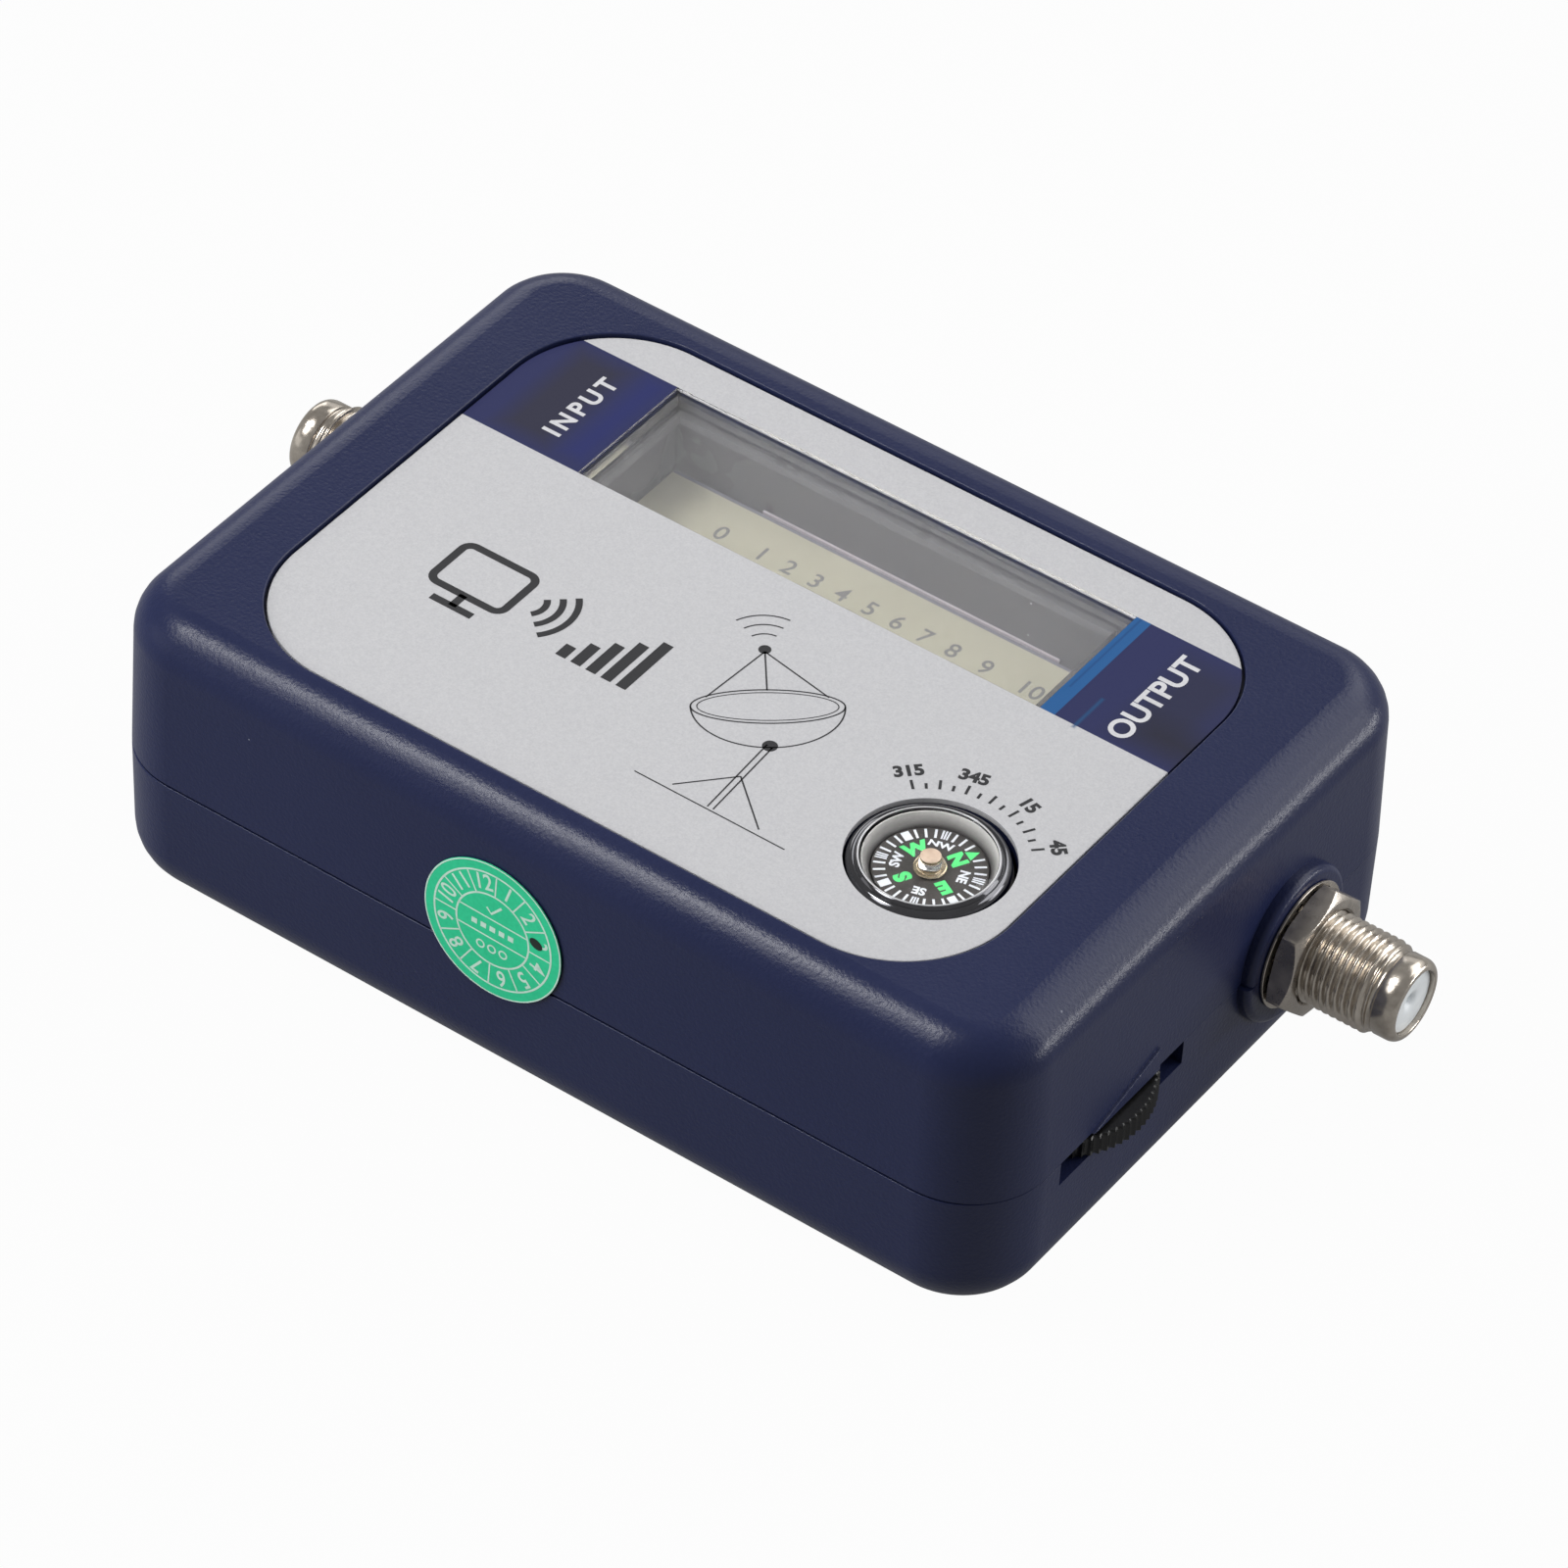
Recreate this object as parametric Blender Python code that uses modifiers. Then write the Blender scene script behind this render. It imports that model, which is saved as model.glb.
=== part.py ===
# A hand-held signal finder: a moulded clamshell case that holds a moving-coil meter, a liquid-free
# compass, a thumbwheel potentiometer, a circuit board and a coaxial connector at each end.
# Metres, +Z up. The origin is the centre of the case's underside and +X runs along its length.
import math

import bmesh
import bpy
from mathutils import Vector

# Case
case_length = 0.1040
case_width = 0.0708
case_height = 0.0340
parting_height = 0.01545
side_wall = 0.0022
floor_wall = 0.0022
ceiling_wall = 0.0024
case_corner = 0.0089
top_rim = 0.00445
bottom_rim = 0.00575
cavity_rim = 0.0018
upper_draft = math.radians(1.5)
lower_draft = math.radians(0.75)
seam_gap = 0.0002
tongue_height = 0.0012
tongue_thickness = 0.0010
running_clearance = 0.0003
glue_gap = 0.0001
overrun = 0.0020

# Case posts and screws
post_inset_x = 0.0085
post_inset_y = 0.0069
post_radius = 0.0040
screw_shank = 0.0014
screw_shank_clearance = 0.0003
screw_head = 0.0026
screw_head_height = 0.0017
screw_head_clearance = 0.0003
screw_length = 0.0150
screw_recess = 0.0060
screw_slot_width = 0.0007
screw_slot_depth = 0.0008
screw_tip_share = 0.4
head_edge_share = 0.6
head_top_share = 0.7

# Face label
label_margin_x = 0.0110
label_margin_y = 0.00595
label_corner = 0.0122
label_x = -0.00055
label_y = -0.0005
label_thickness = 0.0006
label_recess = 0.0003

# Window over the scale
window_length = 0.0537
window_width = 0.01615
window_x = -0.00075
window_margin = 0.0048

# Meter
pivot_x = -0.0005
pivot_reach = 0.019875
tray_wall = 0.0010
tray_floor = 0.0015
tray_lift = 0.0013
tray_shoulder = 0.0020
tray_neck_width = 0.0250
tray_neck_front = 0.0102
cover_wall = 0.0010
plate_depth = 0.0070
plate_thickness = 0.0010
plate_post_radius = 0.0015
plate_post_inset = 0.0025
front_post_radius = 0.0008
magnet_radius = 0.0044
magnet_post_radius = 0.0007
magnet_post_offset = 0.0034
magnet_lift = 0.0013
yoke_radius = 0.0080
yoke_wall = 0.0016
yoke_clearance = 0.0013
coil_clearance = 0.0005
coil_wire = 0.0008
coil_width = 0.0016
staff_radius = 0.00045
staff_clearance = 0.00025
staff_depth = 0.0007
needle_height = 0.0009
needle_length = 0.0245
needle_tail = 0.0060
needle_root = 0.0008
needle_tip = 0.0004
needle_blade = 0.0003
needle_hub = 0.0013
needle_hub_height = 0.0012
needle_weight = 0.0009
needle_rest_angle = math.radians(40)
bridge_span = 0.0170
bridge_width = 0.0024
bridge_thickness = 0.0010
bridge_height = 0.0046
bridge_leg_radius = 0.0009
bearing_radius = 0.00085
bearing_length = 0.0021
hairspring_inner = 0.00085
hairspring_outer = 0.0030
hairspring_wire = 0.00012
hairspring_turns = 3
terminal_radius = 0.0010
terminal_head = 0.0016
terminal_head_height = 0.0012
terminal_offset_x = 0.0095
terminal_offset_y = 0.0072

# Compass
compass_place_shares = (0.7488, 0.3909)
compass_hole = 0.00805
compass_depth = 0.0090
compass_seat_wall = 0.0012
compass_fit = 0.00035
bowl_floor = 0.0012
bezel_inner = 0.0064
bezel_height = 0.0016
bezel_round = 0.0006
lens_thickness = 0.0004
lens_crown = 0.0004
card_radius = 0.0054
card_thickness = 0.0004
card_depth = 0.0014
card_bore = 0.0010
cap_radius = 0.0017
cap_top = 0.0011
cap_height = 0.0009
cap_socket = 0.0005
cap_hollow_share = 0.7
pin_reach_share = 0.2
compass_pin_radius = 0.00028
compass_magnet_length = 0.0090
compass_magnet_width = 0.0034
compass_magnet_thickness = 0.0008
north_angle = math.radians(60)

# Circuit board
board_thickness = 0.0016
board_lift = 0.0028
board_clearance = 0.0011
board_notch_clearance = 0.0008
board_stud_inset_x = 0.0220
board_stud_inset_y = 0.0124
board_stud_radius = 0.0026
board_screw_radius = 0.0010
board_screw_head = 0.0020
board_screw_head_height = 0.0012
board_screw_length = 0.0045

# Thumbwheel and its potentiometer
wheel_radius = 0.0098
wheel_thickness = 0.0023
wheel_overhang = 0.0020
wheel_inset_y = 0.0214
wheel_teeth = 48
tooth_depth = 0.00045
wheel_well_radius = 0.0045
wheel_well_depth = 0.0006
slot_length = 0.02005
slot_shift = 0.000225
slot_height = 0.00285
pot_radius = 0.0050
pot_height = 0.0023
pot_leg_width = 0.0010
pot_leg_thickness = 0.0005
pot_leg_pitch = 0.0032
wheel_screw_shank = 0.0010
wheel_screw_head = 0.0026
wheel_screw_head_height = 0.0010

# Connectors
connector_place_share = 0.6098
connector_reach_right = 0.0142
connector_reach_left = 0.0120
barrel_radius = 0.00473
barrel_clearance = 0.0002
thread_chamfer = 0.0003
groove_radius = 0.0040
groove_width = 0.0008
nose_radius = 0.0043
nose_length = 0.0022
nose_round = 0.0006
flange_radius = 0.0060
flange_thickness = 0.0024
tail_radius = 0.0044
tail_length = 0.0035
insulator_radius = 0.0032
insulator_clearance = 0.00015
insulator_recess = 0.0001
contact_hole = 0.0006
contact_hole_depth = 0.0018
contact_radius = 0.0009
contact_clearance = 0.00015
contact_lead_radius = 0.0005
contact_lead_inset = 0.0012
boss_upper_radius = 0.0080
boss_lower_radius = 0.0085
boss_proud = 0.0012
boss_round = 0.0007
washer_radius = 0.00655
washer_thickness = 0.0005
washer_teeth = 12
washer_tooth_depth = 0.0006
stack_gap = 0.0001
nut_across_flats = 0.0121
nut_thickness = 0.0023
nut_chamfer = 0.0004
nut_turn = math.radians(15)

# Wedge mark on the upper shell, beside the thumbwheel
wedge_front = 0.0053
wedge_back = 0.0054
wedge_height = 0.0027
wedge_tip_height = 0.0002
wedge_proud = 0.0003

# Round sticker
sticker_x = -0.0043
sticker_margin = 0.0019
sticker_radius = 0.0079
sticker_thickness = 0.00015

# Board parts
chip_length = 0.0098
chip_width = 0.0064
chip_height = 0.0033
chip_x = 0.0100
chip_inset_y = 0.0204
capacitor_radius = 0.0031
capacitor_height = 0.0100
capacitor_crimp = 0.0004
capacitor_inset_x = 0.0140
capacitor_inset_y = 0.0149
capacitor_pitch = 0.0085
choke_radius = 0.0032
choke_wire = 0.0013
choke_offset_x = 0.0060
choke_inset_y = 0.0114
lamp_radius = 0.0015
lamp_rim = 0.0019
lamp_rim_height = 0.0010
lamp_height = 0.0048
lamp_drop = 0.0052
lamp_lead = 0.0003
lamp_lead_pitch = 0.0013
lamp_gap = 0.0006
dome_share = 0.7        # a quarter round's middle, from its centre

# Facets
corner_steps = 7
rim_steps = 4
cavity_corner_steps = 3
cavity_rim_steps = 1
round_steps = 28
fine_steps = 33
small_steps = 14
wire_sides = 6
spring_turn_steps = 15
bezel_steps = 4
points_a_tooth = 4
round_profile_share = 0.5
merge_distance = 0.000001

# Levels and places that follow from the sizes above
half_length = case_length / 2
half_width = case_width / 2
seam_top = parting_height + seam_gap / 2
seam_bottom = parting_height - seam_gap / 2
ceiling = case_height - ceiling_wall
post_x = half_length - post_inset_x
post_y = half_width - post_inset_y

label_length = case_length - 2 * label_margin_x
label_width = case_width - 2 * label_margin_y
label_right = label_x + label_length / 2
label_front = label_y - label_width / 2
label_back = label_y + label_width / 2
label_top = case_height - label_recess
label_bottom = label_top - label_thickness
pocket_floor = label_bottom - glue_gap

window_y = label_back - window_margin - window_width / 2
window_left = window_x - window_length / 2
window_right = window_x + window_length / 2
window_front = window_y - window_width / 2
window_back = window_y + window_width / 2

board_bottom = floor_wall + board_lift
board_top = board_bottom + board_thickness
board_stud_x = half_length - board_stud_inset_x
board_stud_y = half_width - board_stud_inset_y
part_foot = board_top + running_clearance
chip_y = half_width - chip_inset_y
capacitor_x = -half_length + capacitor_inset_x
capacitor_front_y = -half_width + capacitor_inset_y
choke_x = board_stud_x - choke_offset_x
choke_y = -half_width + choke_inset_y

pivot_y = window_y - pivot_reach
tray_bottom = part_foot + chip_height + tray_lift
tray_inside = tray_bottom + tray_floor
tray_top = ceiling - running_clearance - cover_wall - glue_gap
neck_left = pivot_x - tray_neck_width / 2
neck_right = pivot_x + tray_neck_width / 2
neck_front = pivot_y - tray_neck_front
shoulder_front = window_front - tray_shoulder
plate_top = tray_top - plate_depth
plate_bottom = plate_top - plate_thickness
core_bottom = tray_inside + magnet_lift + running_clearance
core_top = plate_bottom - running_clearance - coil_wire - coil_clearance
yoke_bottom = tray_inside + running_clearance
lamp_bottom = plate_top - lamp_drop

seat_radius = compass_hole + compass_seat_wall
compass_low_x = neck_right + tray_wall + seat_radius
compass_high_x = label_right - compass_hole
compass_x = compass_low_x + compass_place_shares[0] * (compass_high_x - compass_low_x)
compass_low_y = label_front + compass_hole
compass_high_y = shoulder_front - tray_wall - seat_radius
compass_y = compass_low_y + compass_place_shares[1] * (compass_high_y - compass_low_y)
compass_top = case_height
compass_outer = compass_hole - compass_fit
compass_floor = compass_top - compass_depth
card_top = compass_top - card_depth

wheel_y = -half_width + wheel_inset_y
wheel_x = half_length + wheel_overhang - wheel_radius
wheel_top = seam_bottom - running_clearance
wheel_bottom = wheel_top - wheel_thickness
slot_y = wheel_y - slot_shift
slot_back = slot_y + slot_length / 2
wedge_thin_y = wheel_y - wedge_front
wedge_thick_y = wheel_y + wedge_back

connector_y = slot_back + connector_place_share * (post_y - post_radius - slot_back)
flange_face = half_length - side_wall - running_clearance - math.tan(upper_draft) * flange_radius
sticker_z = case_height - top_rim - sticker_margin - sticker_radius

for startup_object in list(bpy.data.objects):
    bpy.data.objects.remove(startup_object)
parts = bpy.data.collections.new("signal_finder")
cutters = bpy.data.collections.new("cutters")
bpy.context.scene.collection.children.link(parts)
bpy.context.scene.collection.children.link(cutters)


# Helpers
def finish(name, colour, roughness, metallic=0.0, see_through=0.0):
    """A Principled material."""
    made = bpy.data.materials.new(name)
    made.use_nodes = True
    shader = made.node_tree.nodes["Principled BSDF"]
    shader.inputs["Base Color"].default_value = (*colour, 1.0)
    shader.inputs["Roughness"].default_value = roughness
    shader.inputs["Metallic"].default_value = metallic
    shader.inputs["Transmission Weight"].default_value = see_through
    return made


def place(thing, where, material=None):
    """Puts an object among the parts with its material, or among the cutters."""
    where.objects.link(thing)
    if material is not None:
        thing.data.materials.append(material)
    if where == cutters:
        thing.hide_render = True
        thing.display_type = "WIRE"
    return thing


def from_bmesh(name, shape, where=cutters, material=None, smooth=False):
    """An object of the bmesh's shape."""
    if shape.calc_volume(signed=True) < 0:
        bmesh.ops.reverse_faces(shape, faces=shape.faces[:])
    mesh = bpy.data.meshes.new(name)
    shape.to_mesh(mesh)
    shape.free()
    if smooth:
        mesh.shade_smooth()
        mesh.set_sharp_from_angle(angle=math.radians(35))
    return place(bpy.data.objects.new(name, mesh), where, material)


def block(name, low, high, where=cutters, material=None, bevel=0.0, steps=2):
    """A box between two corners, with its edges rounded where bevel isn't zero."""
    shape = bmesh.new()
    bmesh.ops.create_cube(shape, size=1)
    low = Vector(low)
    high = Vector(high)
    for corner in shape.verts:
        corner.co = low + Vector(
            [(high[i] - low[i]) * (corner.co[i] > 0) for i in range(3)]
        )
    if bevel:
        bmesh.ops.bevel(
            shape, geom=shape.edges[:], offset=bevel, segments=steps, profile=round_profile_share, affect="EDGES"
        )
    return from_bmesh(name, shape, where, material)


def plate(name, centre, size, bottom, top, corner, where=cutters, material=None):
    """A flat plate with rounded corners."""
    shape = bmesh.new()
    bmesh.ops.create_cube(shape, size=1)
    for point in shape.verts:
        point.co.x = centre[0] + point.co.x * size[0]
        point.co.y = centre[1] + point.co.y * size[1]
        point.co.z = top if point.co.z > 0 else bottom
    upright = [e for e in shape.edges if abs(e.verts[0].co.z - e.verts[1].co.z) > (top - bottom) / 2]
    bmesh.ops.bevel(
        shape, geom=upright, offset=corner, segments=corner_steps, profile=round_profile_share, affect="EDGES"
    )
    return from_bmesh(name, shape, where, material)


def rod(name, centre, radius, bottom, top, where=cutters, material=None, steps=small_steps, tip=None):
    """An upright cylinder, or a cone where tip gives the upper radius."""
    shape = bmesh.new()
    bmesh.ops.create_cone(
        shape,
        cap_ends=True,
        segments=steps,
        radius1=radius,
        radius2=radius if tip is None else tip,
        depth=top - bottom,
    )
    bmesh.ops.translate(shape, verts=shape.verts[:], vec=(centre[0], centre[1], (bottom + top) / 2))
    return from_bmesh(name, shape, where, material, smooth=True)


def bar_along_x(name, centre, radius, start, end, where=cutters, steps=round_steps, rounding=0.0):
    """A cylinder along X between two X places, with its far rim rounded."""
    shape = bmesh.new()
    bmesh.ops.create_cone(
        shape, cap_ends=True, segments=steps, radius1=radius, radius2=radius, depth=abs(end - start)
    )
    if rounding:
        rim = [e for e in shape.edges if min(v.co.z for v in e.verts) > 0]
        bmesh.ops.bevel(shape, geom=rim, offset=rounding, segments=2, profile=round_profile_share, affect="EDGES")
    side = math.copysign(1, end)
    for point in shape.verts:
        along = (start + end) / 2 + side * point.co.z
        point.co = Vector((along, centre[0] + point.co.x, centre[1] + point.co.y))
    return from_bmesh(name, shape, where)


def turned(name, profile, where, material=None, steps=round_steps, ring=False):
    """A profile of (radius, height) points turned round Z. It runs down its outer side."""
    mesh = bpy.data.meshes.new(name)
    points = [(radius, 0, height) for radius, height in profile]
    edges = [(i, i + 1) for i in range(len(points) - 1)]
    if ring:
        edges.append((len(points) - 1, 0))
    mesh.from_pydata(points, edges, [])
    thing = place(bpy.data.objects.new(name, mesh), where, material)
    screw = thing.modifiers.new("turn", "SCREW")
    screw.steps = steps
    screw.render_steps = steps
    screw.use_merge_vertices = True
    screw.merge_threshold = merge_distance
    screw.use_smooth_shade = True
    return thing


def boolean(target, other, operation="DIFFERENCE"):
    """Cuts the other object from the target, or joins it to the target, and lets it move with the target."""
    other.parent = target
    step = target.modifiers.new(operation.lower(), "BOOLEAN")
    step.operation = operation
    step.object = other
    step.solver = "EXACT"
    return target


def add(target, *others):
    for other in others:
        boolean(target, other, "UNION")
    return target


def cut(target, *others):
    for other in others:
        boolean(target, other)
    return target


def sharpen(thing, angle=35):
    """Smooth shading between facets that meet at less than the angle."""
    thing.data.shade_smooth()
    thing.data.set_sharp_from_angle(angle=math.radians(angle))
    return thing


def at(thing, location, rotation=(0, 0, 0)):
    thing.location = location
    thing.rotation_euler = rotation
    return thing


navy = finish("navy_plastic", (0.012, 0.022, 0.075), 0.42)
label_silver = finish("silver_print", (0.42, 0.44, 0.47), 0.5, 0.3)
clear = finish("clear_plastic", (0.95, 0.97, 1.0), 0.05, 0.0, 1.0)
tray_grey = finish("grey_plastic", (0.30, 0.32, 0.36), 0.5)
cream = finish("cream_paint", (0.80, 0.79, 0.70), 0.5)
black = finish("black_plastic", (0.012, 0.012, 0.014), 0.45)
nickel = finish("nickel", (0.72, 0.70, 0.66), 0.22, 1.0)
steel = finish("steel", (0.55, 0.55, 0.56), 0.3, 1.0)
brass = finish("brass", (0.75, 0.55, 0.22), 0.3, 1.0)
copper = finish("copper_wire", (0.60, 0.22, 0.10), 0.35, 1.0)
white = finish("white_plastic", (0.85, 0.85, 0.83), 0.4)
board_green = finish("board_green", (0.03, 0.14, 0.07), 0.5)
sticker_green = finish("green_sticker", (0.08, 0.42, 0.22), 0.5)


# Case
def case_block(name, inset, level_a, level_b, rim, where=cutters, material=None, drafted=True):
    """The case's rounded, drafted outline drawn in by the inset, from level_a near the parting plane to level_b."""
    upward = level_b > level_a
    draft = upper_draft if upward else lower_draft
    lean = math.tan(draft) if drafted else 0
    shape = bmesh.new()
    bmesh.ops.create_cube(shape, size=1)
    for point in shape.verts:
        level = level_b if (point.co.z > 0) == upward else level_a
        drawn_in = inset + lean * (level - parting_height) * (1 if upward else -1)
        point.co.x = math.copysign(half_length - drawn_in, point.co.x)
        point.co.y = math.copysign(half_width - drawn_in, point.co.y)
        point.co.z = level
    middle = (level_a + level_b) / 2
    upright = [e for e in shape.edges if (e.verts[0].co.z - middle) * (e.verts[1].co.z - middle) < 0]
    bmesh.ops.bevel(
        shape,
        geom=upright,
        offset=case_corner - inset,
        segments=cavity_corner_steps if inset else corner_steps,
        profile=round_profile_share,
        affect="EDGES",
    )
    if rim:
        far_rim = [
            e for e in shape.edges if all((v.co.z > middle) == upward for v in e.verts)
        ]
        bmesh.ops.bevel(
            shape,
            geom=far_rim,
            offset=rim,
            segments=cavity_rim_steps if inset else rim_steps,
            profile=round_profile_share,
            affect="EDGES",
        )
    return from_bmesh(name, shape, where, material, smooth=True)


def post_places():
    return [(sx * post_x, sy * post_y) for sx in (-1, 1) for sy in (-1, 1)]


def connector_sides():
    return [("right", 1, connector_reach_right), ("left", -1, connector_reach_left)]


def boss(side, radius, label):
    """The round boss on an end wall that a connector's nut is tightened against."""
    return bar_along_x(
        f"boss_{label}",
        (connector_y, parting_height),
        radius,
        side * (half_length - side_wall / 2),
        side * (half_length + boss_proud),
        rounding=boss_round,
    )


def barrel_bore(side, label):
    return bar_along_x(
        f"bore_{label}",
        (connector_y, parting_height),
        barrel_radius + barrel_clearance,
        side * (half_length - side_wall - overrun),
        side * (half_length + boss_proud + overrun),
    )


def wedge():
    """The raised triangle on the end wall: thin at its front end, thick at its back end."""
    shape = bmesh.new()
    bmesh.ops.create_cube(shape, size=1)
    for point in shape.verts:
        thick = point.co.y > 0
        upper = point.co.z > 0
        height = (wedge_height if thick else wedge_tip_height) if upper else 0
        lean = math.tan(upper_draft) * height
        proud = wedge_proud if point.co.x > 0 else -side_wall / 2
        point.co.x = half_length + proud - lean
        point.co.y = wedge_thick_y if thick else wedge_thin_y
        point.co.z = seam_top + height if upper else parting_height
    return from_bmesh("wedge", shape)


def upper_shell():
    shell = case_block("upper_shell", 0, parting_height - overrun, case_height, top_rim, parts, navy)
    add(shell, wedge())
    below = block(
        "below_seam",
        (-case_length, -case_width, -overrun),
        (case_length, case_width, seam_top),
    )
    for label, side, _ in connector_sides():
        add(shell, boss(side, boss_upper_radius, "upper_" + label))
    cut(shell, below)
    cut(
        shell,
        case_block("upper_cavity", side_wall, parting_height, ceiling, cavity_rim),
        case_block(
            "upper_rebate",
            side_wall - tongue_thickness - running_clearance,
            parting_height,
            parting_height + tongue_height + running_clearance,
            0,
            drafted=False,
        ),
    )
    seat_bottom = compass_floor - running_clearance - compass_seat_wall
    add(shell, rod("compass_seat", (compass_x, compass_y), seat_radius, seat_bottom,
                   ceiling + ceiling_wall / 3, steps=fine_steps))
    for i, (x, y) in enumerate(post_places()):
        add(shell, rod(f"upper_post_{i}", (x, y), post_radius, parting_height + running_clearance,
                       ceiling + ceiling_wall / 3, steps=small_steps))
    head_level = screw_recess - running_clearance
    for i, (x, y) in enumerate(post_places()):
        pilot_radius = screw_shank + glue_gap
        cut(shell, rod(f"pilot_{i}", (x, y), pilot_radius, parting_height,
                       head_level + screw_length + running_clearance))
    cut(
        shell,
        plate("pocket", (label_x, label_y),
              (label_length + 2 * running_clearance, label_width + 2 * running_clearance),
              pocket_floor, case_height + overrun, label_corner + running_clearance),
        block("window_opening", (window_left, window_front, ceiling - overrun),
              (window_right, window_back, case_height + overrun)),
        rod("compass_well", (compass_x, compass_y), compass_hole, compass_floor - running_clearance,
            case_height + overrun, steps=fine_steps),
    )
    for label, side, _ in connector_sides():
        cut(shell, barrel_bore(side, "upper_" + label))
    return shell


def lower_shell():
    shell = case_block("lower_shell", 0, parting_height + overrun, 0, bottom_rim, parts, navy)
    above = block(
        "above_seam",
        (-case_length, -case_width, seam_bottom),
        (case_length, case_width, case_height),
    )
    for label, side, _ in connector_sides():
        add(shell, boss(side, boss_lower_radius, "lower_" + label))
    cut(shell, above)
    tongue = case_block(
        "tongue",
        side_wall - tongue_thickness,
        parting_height - overrun,
        parting_height + tongue_height,
        0,
        drafted=False,
    )
    add(shell, tongue)
    cavity = case_block(
        "lower_cavity", side_wall, parting_height + tongue_height + overrun, floor_wall, cavity_rim
    )
    cut(shell, cavity)
    for i, (x, y) in enumerate(post_places()):
        add(shell, rod(f"lower_post_{i}", (x, y), post_radius, floor_wall / 2,
                       parting_height - running_clearance))
    for i, (x, y) in enumerate(board_studs()):
        add(shell, rod(f"stud_{i}", (x, y), board_stud_radius, floor_wall / 2,
                       board_bottom - running_clearance))
    for i, (x, y) in enumerate(post_places()):
        cut(
            shell,
            rod(f"screw_hole_{i}", (x, y), screw_shank + screw_shank_clearance, screw_recess / 2,
                parting_height + overrun),
            rod(f"head_recess_{i}", (x, y), screw_head + screw_head_clearance, -overrun, screw_recess),
        )
    for i, (x, y) in enumerate(board_studs()[1:3]):
        cut(shell, rod(f"stud_pilot_{i}", (x, y), board_screw_radius + glue_gap,
                       floor_wall, board_bottom + overrun))
    slot = block(
        "wheel_slot",
        (half_length - side_wall - overrun, slot_y - slot_length / 2, parting_height - slot_height),
        (half_length + overrun, slot_y + slot_length / 2, parting_height + tongue_height + overrun),
    )
    cut(shell, slot)
    for label, side, _ in connector_sides():
        cut(shell, barrel_bore(side, "lower_" + label))
    return shell


def board_studs():
    return [(sx * board_stud_x, sy * board_stud_y) for sx in (-1, 1) for sy in (-1, 1)]


def case_screws():
    """Four pan-head screws from below, each with a slot in its head."""
    for i, (x, y) in enumerate(post_places()):
        seat = screw_recess - glue_gap
        screw = turned(
            f"case_screw_{i + 1}",
            [
                (0, seat + screw_length),
                (screw_shank * screw_tip_share, seat + screw_length),
                (screw_shank, seat + screw_length - screw_shank),
                (screw_shank, seat),
                (screw_head, seat),
                (screw_head, seat - screw_head_height * head_edge_share),
                (screw_head * head_top_share, seat - screw_head_height),
                (0, seat - screw_head_height),
            ],
            parts,
            steel,
            small_steps,
        )
        at(screw, (x, y, 0))
        low = (-screw_head - overrun, -screw_slot_width / 2, seat - screw_head_height - overrun)
        high = (screw_head + overrun, screw_slot_width / 2, seat - screw_head_height + screw_slot_depth)
        cut(screw, block(f"screw_slot_{i}", low, high))


def face_label():
    label = plate(
        "face_label", (label_x, label_y), (label_length, label_width), label_bottom, label_top,
        label_corner, parts, label_silver,
    )
    cut(
        label,
        block("label_window", (window_left, window_front, label_bottom - overrun),
              (window_right, window_back, label_top + overrun)),
        rod("label_compass_hole", (compass_x, compass_y), compass_hole, label_bottom - overrun,
            label_top + overrun, steps=fine_steps),
    )
    return label


def inspection_sticker():
    """A thin disc on the front wall, leaning with the upper shell's draft."""
    shape = bmesh.new()
    bmesh.ops.create_cone(
        shape, cap_ends=True, segments=fine_steps, radius1=sticker_radius, radius2=sticker_radius,
        depth=sticker_thickness,
    )
    thing = from_bmesh("inspection_sticker", shape, parts, sticker_green, smooth=True)
    lean = math.tan(upper_draft) * (sticker_z - parting_height)
    stand_off = glue_gap + sticker_thickness / 2
    place_at = (sticker_x, -half_width + lean - stand_off, sticker_z)
    return at(thing, place_at, (math.pi / 2 - upper_draft, 0, 0))


upper_shell()
lower_shell()
case_screws()
face_label()
inspection_sticker()


# Meter
def tray_outline(name, grow, bottom, top):
    """The meter's T outline: wide behind the window, narrow round the movement."""
    wide = block(
        name + "_wide",
        (window_left - grow, shoulder_front - grow, bottom),
        (window_right + grow, window_back + grow, top),
    )
    neck = block(
        name + "_neck",
        (neck_left - grow, neck_front - grow, bottom),
        (neck_right + grow, (window_front + window_back) / 2, top),
    )
    return wide, neck


def as_part(thing, name, material):
    """Moves a cutter over to the parts under its node's name."""
    cutters.objects.unlink(thing)
    parts.objects.link(thing)
    thing.name = name
    thing.hide_render = False
    thing.display_type = "TEXTURED"
    thing.data.materials.append(material)
    return thing


def plate_post_places():
    """Where the tray's posts carry the scale plate."""
    left = window_left + plate_post_inset
    right = window_right - plate_post_inset
    near = shoulder_front + plate_post_inset
    far = window_back - plate_post_inset
    return [(left, near), (right, near), (left, far), (right, far)]


def terminal_places():
    return [(pivot_x + sx * terminal_offset_x, pivot_y - terminal_offset_y) for sx in (-1, 1)]


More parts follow.
